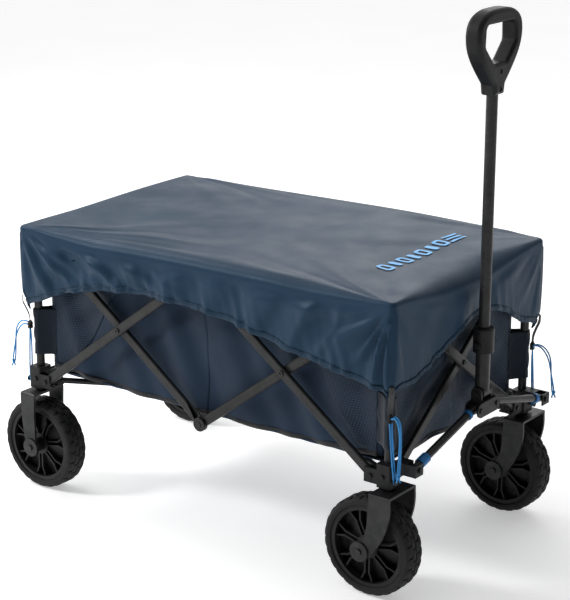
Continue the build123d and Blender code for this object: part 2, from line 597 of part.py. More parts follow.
with BuildPart() as grip_body:
    with BuildSketch(Plane(origin=(POLE_X - GRIP_THICK / 2, 0, 0), x_dir=(0, 1, 0),
                           z_dir=(1, 0, 0))):
        with BuildLine():
            half = GRIP_WIDE / 2
            top = OVERALL_Z
            Line((-16, GRIP_BOTTOM), (16, GRIP_BOTTOM))
            Line((16, GRIP_BOTTOM), (19, GRIP_BOTTOM + 18))
            Spline((19, GRIP_BOTTOM + 18), (56, top - 92), (half, top - 56),
                   (half - 6, top - 20), (38, top - 3), (0, top),
                   (-38, top - 3), (6 - half, top - 20), (-half, top - 56),
                   (-56, top - 92), (-19, GRIP_BOTTOM + 18))
            Line((-19, GRIP_BOTTOM + 18), (-16, GRIP_BOTTOM))
        make_face()
    extrude(amount=GRIP_THICK)
    fillet(grip_body.faces().filter_by(Axis.X).edges(), 8)
    with BuildSketch(Plane(origin=(POLE_X - GRIP_THICK, 0, 0), x_dir=(0, 1, 0),
                           z_dir=(1, 0, 0))) as hole:
        Polygon((-20, top - 95), (20, top - 95), (51, top - 62), (49, top - 25),
                (-49, top - 25), (-51, top - 62), align=None)
        fillet(hole.vertices(), 11)
    extrude(amount=2 * GRIP_THICK, mode=Mode.SUBTRACT)
    hole_edges = grip_body.edges().filter_by(
        lambda e: abs(abs(e.center().X - POLE_X) - GRIP_THICK / 2) < 0.01
        and abs(e.center().Y) < 55 and e.center().Z > top - 98)
    fillet(hole_edges, 6)
    rod((POLE_X, 0, GRIP_BOTTOM - 1), (0, 0, 1), POLE_UPPER_R + 0.02, 25.5, mode=Mode.SUBTRACT)

with BuildPart() as grip:
    add(grip_body.part)
    slab(POLE_X - 30, POLE_X + 30, -90, 90, GRIP_BOTTOM - 10, YOKE_SPLIT, mode=Mode.SUBTRACT)
save(grip, "handle_grip")

with BuildPart() as yoke:
    add(grip_body.part)
    slab(POLE_X - 30, POLE_X + 30, -90, 90, YOKE_SPLIT, OVERALL_Z + 10, mode=Mode.SUBTRACT)
    for z in SCREW_Z:
        rod((POLE_X + GRIP_THICK / 2 - 4, 0, z), (1, 0, 0), 4.6, 10, mode=Mode.SUBTRACT)
    for z in SCREW_Z:
        rod((POLE_X + GRIP_THICK / 2 - 3.9, 0, z), (1, 0, 0), 4.3, 2.4)
save(yoke, "handle_yoke")

# ---- basket -----------------------------------------------------------------------------------
BASKET_HALF_X = 417.0
BASKET_HALF_Y = 222.0
BASKET_CORNER_R = 20.0
FABRIC = 4.0
FLOOR_Z = 247.0
FLOOR_THICK = 5.0
BASKET_TOP = 546.0

with BuildPart() as basket_walls:
    with BuildSketch(Plane.XY.offset(FLOOR_Z + FLOOR_THICK + GAP)):
        with Locations((MID_X, 0)):
            RectangleRounded(2 * BASKET_HALF_X, 2 * BASKET_HALF_Y, BASKET_CORNER_R)
            RectangleRounded(2 * BASKET_HALF_X - 2 * FABRIC, 2 * BASKET_HALF_Y - 2 * FABRIC,
                             BASKET_CORNER_R - FABRIC, mode=Mode.SUBTRACT)
    extrude(amount=BASKET_TOP - FLOOR_Z - FLOOR_THICK - GAP)
save(basket_walls, "basket_walls")

with BuildPart() as basket_floor:
    with BuildSketch(Plane.XY.offset(FLOOR_Z)):
        with Locations((MID_X, 0)):
            RectangleRounded(2 * BASKET_HALF_X, 2 * BASKET_HALF_Y, BASKET_CORNER_R)
    extrude(amount=FLOOR_THICK)
save(basket_floor, "basket_floor")

# ---- fitted cover with its arched, elastic hem -------------------------------------------------
COVER_CORNER_R = 30.0
COVER_EDGE_R = 9.0
HEM_CUT_Z = 370.0             # below the tips
HEM_CUT = 20.0                # through a skirt
SIDE_HEM = [(-428, 398), (-347, 434), (-225, 465), (-50, 477), (100, 460), (250, 432), (428, 400)]
END_HEM = [(-236, 398), (-168, 402), (-86, 441), (26, 474), (110, 460), (236, 402)]

with BuildPart() as cover:
    with BuildSketch(Plane.XY.offset(COVER_TIP_Z)):
        with Locations((MID_X, 0)):
            RectangleRounded(2 * COVER_HALF_X, 2 * COVER_HALF_Y, COVER_CORNER_R)
    extrude(amount=COVER_TOP - COVER_TIP_Z)
    fillet(cover.faces().sort_by(Axis.Z)[-1].edges(), COVER_EDGE_R)
    with BuildSketch(Plane.XY.offset(COVER_TIP_Z - 1)):
        with Locations((MID_X, 0)):
            RectangleRounded(2 * (COVER_HALF_X - COVER_THICK), 2 * (COVER_HALF_Y - COVER_THICK),
                             COVER_CORNER_R - COVER_THICK)
    extrude(amount=COVER_TOP - COVER_THICK - COVER_TIP_Z - 5, mode=Mode.SUBTRACT)
    with BuildSketch(Plane.XY.offset(COVER_TOP - COVER_THICK - 7)):
        with Locations((MID_X, 0)):
            RectangleRounded(2 * (COVER_HALF_X - 10), 2 * (COVER_HALF_Y - 10), 20)
    extrude(amount=7, mode=Mode.SUBTRACT)
    for side in (-1, 1):
        with BuildSketch(Plane(origin=(MID_X, side * (COVER_HALF_Y - HEM_CUT / 2), 0),
                               x_dir=(1, 0, 0), z_dir=(0, -1, 0))) as hem:
            with BuildLine():
                Spline(*SIDE_HEM)
                Polyline(SIDE_HEM[-1], (428, HEM_CUT_Z), (-428, HEM_CUT_Z), SIDE_HEM[0])
            make_face()
        extrude(amount=-side * HEM_CUT, mode=Mode.SUBTRACT)
    for end in (-1, 1):
        with BuildSketch(Plane(origin=(MID_X + end * (COVER_HALF_X - HEM_CUT / 2), 0, 0),
                               x_dir=(0, 1, 0), z_dir=(1, 0, 0))) as hem:
            with BuildLine():
                Spline(*END_HEM)
                Polyline(END_HEM[-1], (236, HEM_CUT_Z), (-236, HEM_CUT_Z), END_HEM[0])
            make_face()
        extrude(amount=end * HEM_CUT, mode=Mode.SUBTRACT)
save(cover, "cover")

# ---- corner straps, cord locks and elastic cords -----------------------------------------------
LOCK_U = -10.5
LOCK_V = -14.5
LOCK_BOTTOM = 343.0
LOCK_TOP = 357.0
STRAP_U = -6.2
STRAP_V = -11.7
STRAP_TOP = 396.0
STRAP_WIDE = 12.0
STRAP_HALF_THICK = 0.8

with BuildPart() as straps:
    for end, side in CORNERS.values():
        x, y = post_xy(end, side)
        facing = Vector(end, side, 0)
        with BuildSketch(Plane(origin=(x - end * STRAP_U, y - side * STRAP_V, 0),
                               x_dir=(-side, end, 0), z_dir=facing)) as tab:
            with Locations((0, (LOCK_TOP + GAP + STRAP_TOP) / 2)):
                Rectangle(STRAP_WIDE, STRAP_TOP - LOCK_TOP - GAP)
        extrude(tab.sketch, amount=STRAP_HALF_THICK, both=True)
save(straps, "cover_straps")

with BuildPart() as locks:
    for end, side in CORNERS.values():
        corner_box(end, side, LOCK_U - 4.5, LOCK_U + 3.5, LOCK_V - 5.5, LOCK_V + 5.5,
                   LOCK_BOTTOM, LOCK_TOP)
    fillet(locks.edges().filter_by(Axis.Z), 2)
save(locks, "cord_locks")

# The loop starts in the lock, goes round the bracket's button, back up through the lock
# and out as a two-strand tail. Points are (u, v, z) from the corner post, outward negative.
TAUT = [(-10.5, -16.5, 343), (-19.5, -15.5, 227.5), (-19.5, -6.5, 227.5), (-10.5, -12.5, 349)]
HANGING_TAIL = [
    (-19, -12, 357), (-29, -11.5, 350), (-33, -12, 325), (-33, -13, 285), (-31, -12.5, 243),
    (-31, -20.5, 243), (-34, -20, 285), (-35, -19.5, 325), (-29, -18, 350), (-19, -17.5, 356),
    (-12.5, -16.8, 350),
]
SWUNG_TAIL = [
    (-21, -13, 357), (-40, -13.5, 354), (-54, -14, 334), (-55, -14.5, 300), (-60, -13.5, 260),
    (-61, -21.5, 260), (-52, -20.5, 300), (-46, -20, 328), (-34, -19, 346), (-21, -17.5, 353),
    (-12.5, -16.8, 350),
]


def bend_radii(points):
    """The largest even bends: 0.45 of the shorter run over the tangent of half the turn."""
    radii = []
    for before, here, after in zip(points, points[1:], points[2:]):
        run_in = Vector(*here) - Vector(*before)
        run_out = Vector(*after) - Vector(*here)
        turn = radians(run_in.get_angle(run_out))
        radii.append(0.45 * min(run_in.length, run_out.length) * cos(turn / 2) / sin(turn / 2))
    return radii


for corner, (end, side) in CORNERS.items():
    x, y = post_xy(end, side)
    tail = HANGING_TAIL if corner == "front_right" else SWUNG_TAIL
    route = [(x - end * u, y - side * v, z) for u, v, z in TAUT + tail]
    radii = bend_radii(route)
    with BuildPart() as cord:
        with BuildLine() as path:
            FilletPolyline(*route, radius=radii)
        wire = path.wires()[0]
        with BuildSketch(Plane(origin=route[0], z_dir=wire % 0)):
            Circle(CORD_R)
        sweep(path=wire)
    save(cord, f"{corner}_cord")
    length = wire.length
    print(corner, "cord", round(length, 1), "mm, radii", [round(r, 1) for r in radii],
          "volume ratio", round(cord.part.volume / (pi * CORD_R**2 * length), 4))
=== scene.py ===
import json
import math

import bmesh
import bpy
import numpy as np
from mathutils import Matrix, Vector


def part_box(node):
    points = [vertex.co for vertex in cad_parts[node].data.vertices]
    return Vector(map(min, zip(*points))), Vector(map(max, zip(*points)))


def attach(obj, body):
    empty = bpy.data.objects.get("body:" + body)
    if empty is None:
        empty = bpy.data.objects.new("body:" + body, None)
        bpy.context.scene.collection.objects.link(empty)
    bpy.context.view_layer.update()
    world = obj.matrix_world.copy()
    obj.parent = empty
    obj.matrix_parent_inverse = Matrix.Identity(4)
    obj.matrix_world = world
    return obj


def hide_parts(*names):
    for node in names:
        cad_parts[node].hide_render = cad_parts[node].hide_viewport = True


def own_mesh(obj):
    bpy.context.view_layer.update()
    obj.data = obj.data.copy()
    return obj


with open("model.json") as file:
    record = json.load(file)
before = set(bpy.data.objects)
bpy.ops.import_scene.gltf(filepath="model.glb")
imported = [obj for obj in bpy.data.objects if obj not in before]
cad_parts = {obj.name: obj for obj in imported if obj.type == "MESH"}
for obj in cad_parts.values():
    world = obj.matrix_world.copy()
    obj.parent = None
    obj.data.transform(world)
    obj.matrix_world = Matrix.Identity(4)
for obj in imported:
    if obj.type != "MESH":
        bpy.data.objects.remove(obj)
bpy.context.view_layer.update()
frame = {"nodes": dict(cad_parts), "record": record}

# Folding camp wagon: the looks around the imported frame, in metres. +X is towards the handle and
# -Y is the side that faces the camera. Corners are named by end and side: front is +X, right -Y.

# ---- places read from the frame --------------------------
CORNERS = {
    "front_right": (1, -1),
    "front_left": (1, 1),
    "rear_right": (-1, -1),
    "rear_left": (-1, 1),
}
FACING = {"right": (0, -1), "front": (1, 0), "left": (0, 1), "rear": (-1, 0)}
LONG_SIDES = ("right", "left")


def middle(node):
    low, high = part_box(node)
    return (low + high) / 2


def add_object(name, data):
    made = bpy.data.objects.new(name, data)
    bpy.context.scene.collection.objects.link(made)
    return made


POST = {corner: middle(f"{corner}_lower_post") for corner in CORNERS}
MID_X = (POST["front_right"].x + POST["rear_right"].x) / 2
POST_R = (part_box("front_right_lower_post")[1].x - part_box("front_right_lower_post")[0].x) / 2
COVER_LOW, COVER_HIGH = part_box("cover")
WALL_LOW, WALL_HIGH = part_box("basket_walls")
FLOOR_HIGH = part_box("basket_floor")[1]


def corner_point(corner, u, v, z):
    """A point by a corner post: u runs inward along X, v inward along Y, in metres."""
    end, side = CORNERS[corner]
    return (POST[corner].x - end * u, POST[corner].y - side * v, z)


# ---- camera, light and floor -----------------------------
VIEW_AZIMUTH = math.radians(37.1)
VIEW_ELEVATION = math.radians(17.4)
VIEW_DISTANCE = 3.585
VIEW_TARGET = Vector((MID_X, 0.027, 0.417))
LENS = 107.5


def add_camera():
    data = bpy.data.cameras.new("camera")
    data.lens = LENS
    data.sensor_width = 36
    camera = add_object("camera", data)
    flat = math.cos(VIEW_ELEVATION)
    away = Vector((math.sin(VIEW_AZIMUTH) * flat, -math.cos(VIEW_AZIMUTH) * flat,
                   math.sin(VIEW_ELEVATION)))
    camera.location = VIEW_TARGET + VIEW_DISTANCE * away
    camera.rotation_euler = (-away).to_track_quat("-Z", "Y").to_euler()
    bpy.context.scene.camera = camera


# each area light's name, place, size and power
LIGHTS = [
    ("key_light", (-2.5, 0.2, 2.6), (1.2, 1.0), 34),
    ("rim_light", (-1.2, 2.6, 2.0), (1.4, 0.9), 12),
    ("side_light", (-2.3, -1.9, 2.4), (0.7, 0.7), 70),
    ("front_light", (3.0, -1.6, 1.4), (0.5, 1.0), 1.2),
]
LIGHT_AIM = Vector((0, 0, 0.35))
FLOOR_REACH = 40.0
SKY_BRIGHTEST = Vector((-0.72, 0.52, 0.46)).normalized()
SKY_LEVELS = [(0.0, 0.02), (0.42, 0.06), (0.6, 0.36), (0.8, 1.0)]


def add_studio():
    for name, place, size, power in LIGHTS:
        data = bpy.data.lights.new(name, "AREA")
        data.shape = "RECTANGLE"
        data.size, data.size_y = size
        data.energy = power
        lamp = add_object(name, data)
        lamp.location = place
        lamp.rotation_euler = (LIGHT_AIM - Vector(place)).to_track_quat("-Z", "Y").to_euler()
    scene = bpy.context.scene
    scene.world = studio_world()
    scene.view_settings.view_transform = "Standard"
    reach = np.linspace(-FLOOR_REACH, FLOOR_REACH, 3)
    floor = grid_mesh("floor", [[(x, y, 0) for x in reach] for y in reach])
    floor.data.materials.append(floor_material())


def set_stops(ramp, stops):
    """Give a colour ramp its stops: place, colour."""
    points = ramp.color_ramp.elements
    while len(points) < len(stops):
        points.new(0.5)
    for point, (at, colour) in zip(points, stops):
        point.position = at
        point.color = (*colour, 1)


def studio_world():
    """A bright cyclorama behind and above the object, falling to dark in front of it."""
    world = bpy.data.worlds.new("studio")
    world.use_nodes = True
    tree = world.node_tree
    direction = tree.nodes.new("ShaderNodeTexCoord")
    lean = tree.nodes.new("ShaderNodeVectorMath")
    lean.operation = "DOT_PRODUCT"
    lean.inputs[1].default_value = SKY_BRIGHTEST
    ramp = tree.nodes.new("ShaderNodeValToRGB")
    set_stops(ramp, [(at, (level, level, level)) for at, level in SKY_LEVELS])
    shift = tree.nodes.new("ShaderNodeMath")
    shift.operation = "MULTIPLY_ADD"
    shift.inputs[1].default_value = 0.5
    shift.inputs[2].default_value = 0.5
    tree.links.new(direction.outputs["Generated"], lean.inputs[0])
    tree.links.new(lean.outputs["Value"], shift.inputs[0])
    tree.links.new(shift.outputs[0], ramp.inputs["Fac"])
    tree.links.new(ramp.outputs["Color"], tree.nodes["Background"].inputs["Color"])
    return world


# ---- mesh helpers ----------------------------------------
def mesh_object(name, points, faces, uv=None):
    """A mesh piece. uv holds one place per vertex, in metres along the cloth."""
    mesh = bpy.data.meshes.new(name)
    mesh.from_pydata([tuple(map(float, p)) for p in points], [], [list(map(int, f)) for f in faces])
    mesh.validate()
    if uv is not None:
        layer = mesh.uv_layers.new(name="cloth")
        index = np.zeros(len(mesh.loops), int)
        mesh.loops.foreach_get("vertex_index", index)
        layer.data.foreach_set("uv", np.asarray(uv, float)[index].ravel())
    mesh.polygons.foreach_set("use_smooth", [True] * len(mesh.polygons))
    mesh.update()
    return add_object(name, mesh)


def grid_faces(rows, columns, closed=False):
    """Quads of a grid whose points run along each row in turn."""
    faces = []
    wide = columns if closed else columns - 1
    for r in range(rows - 1):
        for c in range(wide):
            d = (c + 1) % columns
            faces.append((r * columns + c, r * columns + d,
                          (r + 1) * columns + d, (r + 1) * columns + c))
    return faces


def grid_mesh(name, grid, uv=None, closed=False):
    grid = np.asarray(grid, float)
    rows, columns = grid.shape[:2]
    flat_uv = None if uv is None else np.asarray(uv, float).reshape(-1, 2)
    return mesh_object(name, grid.reshape(-1, 3), grid_faces(rows, columns, closed), flat_uv)


def face_outward(piece):
    work = bmesh.new()
    work.from_mesh(piece.data)
    bmesh.ops.recalc_face_normals(work, faces=work.faces)
    work.to_mesh(piece.data)
    work.free()


def thicken(piece, amount, offset=0.0):
    solid = piece.modifiers.new("thickness", "SOLIDIFY")
    solid.thickness = amount
    solid.offset = offset
    apply_modifiers(piece)


def apply_modifiers(piece):
    """Keep the mesh that the modifiers give, and drop them."""
    graph = bpy.context.evaluated_depsgraph_get()
    mesh = bpy.data.meshes.new_from_object(piece.evaluated_get(graph))
    old = piece.data
    piece.modifiers.clear()
    piece.data = mesh
    bpy.data.meshes.remove(old)


def cloth_piece(name, rows, columns, place, thickness):
    """A sheet of cloth; place gives the point and the flat place of a row and a column."""
    cells = [[place(r, c) for c in columns] for r in rows]
    piece = grid_mesh(name, [[point for point, flat in row] for row in cells],
                      [[flat for point, flat in row] for row in cells])
    face_outward(piece)
    thicken(piece, thickness)
    return piece


def curve_through(points, samples):
    """A smooth height curve through a few (place, height) points, as a function of place."""
    places = np.array([p[0] for p in points], float)
    heights = np.array([p[1] for p in points], float)
    slopes = np.gradient(heights, places)
    at = np.clip(samples, places[0], places[-1])
    k = np.clip(np.searchsorted(places, at) - 1, 0, len(places) - 2)
    width = places[k + 1] - places[k]
    t = (at - places[k]) / width
    return ((2 * t**3 - 3 * t**2 + 1) * heights[k] + (t**3 - 2 * t**2 + t) * width * slopes[k]
            + (3 * t**2 - 2 * t**3) * heights[k + 1] + (t**3 - t**2) * width * slopes[k + 1])


def ease(t):
    """0 below 0, 1 above 1, and a smooth step between."""
    t = np.clip(t, 0, 1)
    return t * t * (3 - 2 * t)


def finish_piece(piece, body, slot, look=None, replaced=()):
    """Give a piece a look (its slot's, if none is named) and its body, and hide the CAD nodes it
    replaces.
    """
    piece.data.materials.clear()
    piece.data.materials.append(MATERIALS[look or slot])
    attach(piece, body)
    if replaced:
        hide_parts(*replaced)
    return piece


# ---- materials -------------------------------------------
class Shader:
    """A principled material under construction."""

    def __init__(self, name, roughness=0.5, specular=0.5):
        self.material = bpy.data.materials.new(name)
        self.material.use_nodes = True
        self.tree = self.material.node_tree
        self.principled = self.tree.nodes["Principled BSDF"]
        self.set(Roughness=roughness, Specular_IOR_Level=specular)

    def set(self, **values):
        for key, value in values.items():
            self.principled.inputs[key.replace("_", " ")].default_value = value

    def node(self, kind, settings=None, **inputs):
        made = self.tree.nodes.new("ShaderNode" + kind)
        for key, value in (settings or {}).items():
            setattr(made, key, value)
        for key, value in inputs.items():
            self.feed(made.inputs[key.replace("_", " ")], value)
        return made

    def feed(self, socket, value):
        if isinstance(value, bpy.types.NodeSocket):
            self.tree.links.new(value, socket)
        else:
            socket.default_value = value

    def maths(self, operation, a, b=0.0, clamp=False):
        made = self.node("Math", {"operation": operation, "use_clamp": clamp})
        self.feed(made.inputs[0], a)
        self.feed(made.inputs[1], b)
        return made.outputs[0]

    def place(self, cloth=False):
        if cloth:
            return self.node("UVMap", {"uv_map": "cloth"}).outputs["UV"]
        return self.node("TexCoord").outputs["Object"]

    def noise(self, place, scale, detail=4.0, roughness=0.55):
        return self.node("TexNoise", Vector=place, Scale=scale, Detail=detail,
                         Roughness=roughness).outputs["Fac"]

    def ramp(self, factor, stops):
        made = self.node("ValToRGB", Fac=factor)
        set_stops(made, stops)
        return made.outputs["Color"]

    def tone(self, factor, stops):
        self.colour(self.ramp(factor, stops))

    def spread(self, factor, low, high):
        """The factor, remapped to run from low to high."""
        return self.node("MapRange", Value=factor, From_Min=0.25, From_Max=0.75, To_Min=low,
                         To_Max=high).outputs["Result"]

    def waves(self, place, pitch, direction):
        """A ridged line pattern of that pitch in metres, 0 to 1."""
        wave = self.node("TexWave", {"bands_direction": direction, "wave_profile": "SIN"},
                         Vector=place, Scale=2 * math.pi / pitch / 20)
        return wave.outputs["Fac"]

    def bump(self, height, strength, distance):
        made = self.node("Bump", Height=height, Strength=strength, Distance=distance)
        previous = self.principled.inputs["Normal"]
        if previous.is_linked:
            self.feed(made.inputs["Normal"], previous.links[0].from_socket)
        self.feed(previous, made.outputs["Normal"])

    def colour(self, value):
        self.feed(self.principled.inputs["Base Color"], value)

    def rough(self, value):
        self.feed(self.principled.inputs["Roughness"], value)


def mixed(low, high, t):
    return tuple(a + (b - a) * t for a, b in zip(low, high))


def floor_material():
    shader = Shader("pale_floor", roughness=0.85, specular=0.1)
    grain = shader.noise(shader.place(), 3.0)
    shader.tone(grain, [(0.3, (0.9, 0.9, 0.9)), (0.7, (0.94, 0.94, 0.94))])
    shader.set(Emission_Color=(1, 1, 1, 1), Emission_Strength=0.4)
    return shader.material


def painted_tube_material(name, base, roughness=0.36):
    """Satin powder coat: faint orange peel, uneven gloss and slightly paler rubbed edges."""
    shader = Shader(name, roughness=roughness, specular=0.3)
    shader.set(IOR=1.4)
    place = shader.place()
    cloud = shader.noise(place, 14, 5)
    edge = shader.node("NewGeometry").outputs["Pointiness"]
    worn = shader.maths("MULTIPLY", shader.spread(edge, -0.4, 1.4), shader.noise(place, 60, 3), True)
    tone = shader.ramp(cloud, [(0.3, mixed(base, (0, 0, 0), 0.16)), (0.7, base)])
    rubbed = shader.node("Mix", {"data_type": "RGBA"})
    shader.feed(rubbed.inputs["Factor"], shader.maths("MULTIPLY", worn, 0.35))
    shader.feed(rubbed.inputs[6], tone)
    rubbed.inputs[7].default_value = (*mixed(base, (1, 1, 1), 0.12), 1)
    shader.colour(rubbed.outputs[2])
    shader.rough(shader.spread(shader.noise(place, 45, 4), roughness - 0.06, roughness + 0.1))
    shader.bump(shader.noise(place, 900, 2), 0.12, 0.0002)
    return shader.material


def moulded_material(name, base, roughness=0.5, grain=1400, depth=0.0003):
    """Moulded plastic or rubber: fine leather-like grain and soft tone changes."""
    shader = Shader(name, roughness=roughness, specular=0.28)
    shader.set(IOR=1.4)
    place = shader.place()
    cloud = shader.noise(place, 22, 4)
    shader.tone(cloud, [(0.3, mixed(base, (0, 0, 0), 0.2)),
                        (0.72, mixed(base, (1, 1, 1), 0.012))])
    shader.rough(shader.spread(shader.noise(place, 70, 3), roughness - 0.07, roughness + 0.09))
    cell = shader.node("TexVoronoi", Vector=place, Scale=grain).outputs["Distance"]
    shader.bump(cell, 0.25, depth)
    return shader.material


def tyre_material():
    shader = Shader("tyre_rubber", roughness=0.74, specular=0.35)
    place = shader.place()
    dust = shader.noise(place, 35, 6, 0.65)
    shader.tone(dust, [(0.35, (0.006, 0.006, 0.0062)), (0.62, (0.009, 0.009, 0.0092)),
                       (0.8, (0.017, 0.0165, 0.016))])
    shader.rough(shader.spread(dust, 0.62, 0.86))
    shader.bump(shader.noise(place, 700, 3), 0.35, 0.0004)
    return shader.material


BLUISH = (0.5, 0.75, 1.0, 1)


def woven_material(name, base, pale, roughness, sheen, pitch=0.0007, wrinkle=0.0012, gloss=0.4,
                   ior=1.36):
    """Coated or plain woven cloth: a fine weave, slow colour drift and small creases."""
    shader = Shader(name, roughness=roughness, specular=gloss)
    shader.set(IOR=ior, Sheen_Weight=sheen, Sheen_Roughness=0.45, Specular_Tint=BLUISH)
    cloth = shader.place(cloth=True)
    place = shader.place()
    warp = shader.waves(cloth, pitch, "X")
    weft = shader.waves(cloth, pitch, "Y")
    weave = shader.maths("MULTIPLY", warp, weft)
    drift = shader.noise(place, 6, 5, 0.6)
    speck = shader.noise(cloth, 900, 2)
    tone = shader.maths("ADD", shader.maths("MULTIPLY", drift, 0.8),
                        shader.maths("MULTIPLY", speck, 0.2))
    shader.tone(tone, [(0.34, base), (0.66, pale)])
    shader.rough(shader.spread(shader.noise(place, 18, 4), roughness - 0.05, roughness + 0.08))
    shader.bump(shader.noise(place, 38, 5, 0.55), 0.35, wrinkle)
    shader.bump(weave, 0.3, 0.00012)
    return shader.material


def webbing_material(name, base, pale, pitch=0.0016):
    """Ribbed polyester webbing."""
    shader = Shader(name, roughness=0.72, specular=0.3)
    cloth = shader.place(cloth=True)
    rib = shader.waves(cloth, pitch, "X")
    thread = shader.waves(cloth, pitch * 0.7, "Y")
    shader.tone(shader.noise(cloth, 220, 4), [(0.35, base), (0.7, pale)])
    shader.bump(shader.maths("MULTIPLY", rib, thread), 0.6, 0.0004)
    shader.set(Sheen_Weight=0.2)
    return shader.material


def cord_material():
    """Braided elastic: two crossing sets of strands, with painted shade in the grooves between them.
    """
    shader = Shader("braided_cord", roughness=0.55, specular=0.35)
    place = shader.place()
    one = shader.node("Mapping", Vector=place, Rotation=(0.6, 0.9, 0.7)).outputs["Vector"]
    two = shader.node("Mapping", Vector=place, Rotation=(-0.6, 0.9, -0.7)).outputs["Vector"]
    braid = shader.maths("MAXIMUM", shader.waves(one, 0.0016, "X"), shader.waves(two, 0.0016, "X"))
    # painted shade: the colour darkens where the braid pattern is low, between the strands
    shader.tone(braid, [(0.15, (0.010, 0.09, 0.26)), (0.6, (0.022, 0.22, 0.56)),
                        (0.95, (0.05, 0.33, 0.72))])
    shader.bump(braid, 0.5, 0.0004)
    return shader.material


def net_panel_material():
    """Close-woven net: level cords crossed by finer ones, lighter along the cords as painted
    highlight and darkest between them as painted shade.
    """
    shader = Shader("net_panel", roughness=0.55, specular=0.35)
    cloth = shader.place(cloth=True)
    rows = shader.waves(cloth, 0.0046, "Y")
    slanted = shader.node("Mapping", Vector=cloth, Rotation=(0, 0, 0.30)).outputs["Vector"]
    columns = shader.waves(slanted, 0.0060, "X")
    cords = shader.maths("MULTIPLY", rows, shader.maths("ADD", shader.maths(
        "MULTIPLY", columns, 0.75), 0.25))
    level = shader.maths("MULTIPLY", cords, shader.spread(shader.noise(cloth, 16, 4), 0.7, 1.15))
    # painted highlight along the slanted cord lines and painted shade between the cords, varied a
    # little by noise
    shader.tone(level, [(0.2, (0.006, 0.010, 0.020)), (0.5, (0.012, 0.021, 0.040)),
                        (0.9, (0.028, 0.048, 0.082))])
    shader.bump(cords, 0.5, 0.0006)
    shader.set(Specular_Tint=(0.6, 0.8, 1.0, 1))
    return shader.material


def print_material():
    """Slightly raised printed ink, worn a little."""
    shader = Shader("blue_print", roughness=0.42, specular=0.45)
    cloth = shader.place(cloth=True)
    shader.tone(shader.noise(cloth, 120, 4), [(0.3, (0.05, 0.33, 0.72)),
                                              (0.7, (0.07, 0.42, 0.86))])
    shader.bump(shader.noise(cloth, 800, 2), 0.2, 0.0002)
    return shader.material


MATERIALS = {}


def make_materials():
    MATERIALS.update(
        tube=painted_tube_material("satin_tube", (0.0042, 0.0045, 0.0054), 0.30),
        fork=painted_tube_material("satin_fork", (0.0040, 0.0044, 0.0056), 0.36),
        bracket=moulded_material("black_plastic", (0.0050, 0.0054, 0.0064), 0.44),
        rim=moulded_material("rim_plastic", (0.0050, 0.0051, 0.0056), 0.40, 900),
        grip=moulded_material("grip_rubber", (0.0075, 0.0076, 0.0080), 0.5, 700, 0.0005),
        blue_trim=moulded_material("blue_plastic", (0.018, 0.16, 0.42), 0.38),
        tyre=tyre_material(),
        cover_fabric=woven_material("cover_cloth", (0.017, 0.038, 0.068), (0.023, 0.047, 0.083),
                                    0.37, 0.01, gloss=0.26, ior=1.28),
        basket_fabric=woven_material("basket_cloth", (0.010, 0.018, 0.036),
                                     (0.015, 0.026, 0.048), 0.62, 0.08, pitch=0.0009),
        webbing=webbing_material("grey_webbing", (0.030, 0.031, 0.033), (0.065, 0.066, 0.07)),
        dark_webbing=webbing_material("dark_webbing", (0.006, 0.0065, 0.008),
                                      (0.014, 0.015, 0.018)),
        cord=cord_material(),
        hem_fabric=woven_material("hem_cloth", (0.015, 0.032, 0.056), (0.020, 0.040, 0.068),
                                  0.45, 0.01, wrinkle=0.0008, ior=1.28),
        sleeve_fabric=woven_material("sleeve_cloth", (0.008, 0.010, 0.015),
                                     (0.014, 0.017, 0.024), 0.66, 0.2, pitch=0.0009),
        net_panel=net_panel_material(),
        print=print_material(),
    )
    slots = {s["node"]: s["material_slot"] for s in frame["record"]["subparts"]}
    for name, piece in frame["nodes"].items():
        piece.data.materials.clear()
        piece.data.materials.append(MATERIALS[slots[name]])


# ---- cords -----------------------------------------------
CORD_D = 0.003
# routes by a corner post: inward along X and along Y, and height, in millimetres
TAUT = [(-10.5, -16.5, 343), (-19.5, -15.5, 227.5), (-19.5, -6.5, 227.5), (-10.5, -12.5, 349)]
HANGING_TAIL = [
    (-19, -12, 357), (-29, -11.5, 350), (-33, -12, 325), (-33, -13, 285), (-31, -12.5, 243),
    (-31, -20.5, 243), (-34, -20, 285), (-35, -19.5, 325), (-29, -18, 350), (-19, -17.5, 356),
    (-12.5, -16.8, 350),
]
SWUNG_TAIL = [
    (-21, -13, 357), (-40, -13.5, 354), (-54, -14, 334), (-55, -14.5, 300), (-60, -13.5, 260),
    (-61, -21.5, 260), (-52, -20.5, 300), (-46, -20, 328), (-34, -19, 346), (-21, -17.5, 353),
    (-12.5, -16.8, 350),
]
SHORT_ENDS = [       # below a knot, in metres
    [(0.001, 0, -0.002), (0.0015, 0.001, -0.006), (0.0035, 0.001, -0.010)],
    [(-0.001, 0, -0.002), (-0.002, -0.001, -0.006), (-0.003, -0.002, -0.011)],
]
TAIL_TURN = (8, 9)            # the points of a route where its tail turns back at the bottom


def cord_curve(name, routes, smoothness, roundness):
    """One object of the cord's thickness that follows each route, and rides the cover."""
    curve = bpy.data.curves.new(name, "CURVE")
    curve.dimensions = "3D"
    for route in routes:
        spline = curve.splines.new("NURBS")
        spline.points.add(len(route) - 1)
        for point, place in zip(spline.points, route):
            point.co = (*place, 1)
        spline.order_u = 3
        spline.use_endpoint_u = True
        spline.resolution_u = smoothness
    curve.bevel_depth = CORD_D / 2
    curve.bevel_resolution = roundness
    curve.use_fill_caps = True
    piece = add_object(name, curve)
    curve.materials.append(MATERIALS["cord"])
    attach(piece, "cover")
    return piece


def add_cord(corner):
    tail = HANGING_TAIL if corner == "front_right" else SWUNG_TAIL
    route = [corner_point(corner, u / 1000, v / 1000, z / 1000) for u, v, z in TAUT + tail]
    piece = cord_curve(f"{corner}_elastic", [route], 16, 5)
    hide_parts(f"{corner}_cord")
    return piece, route


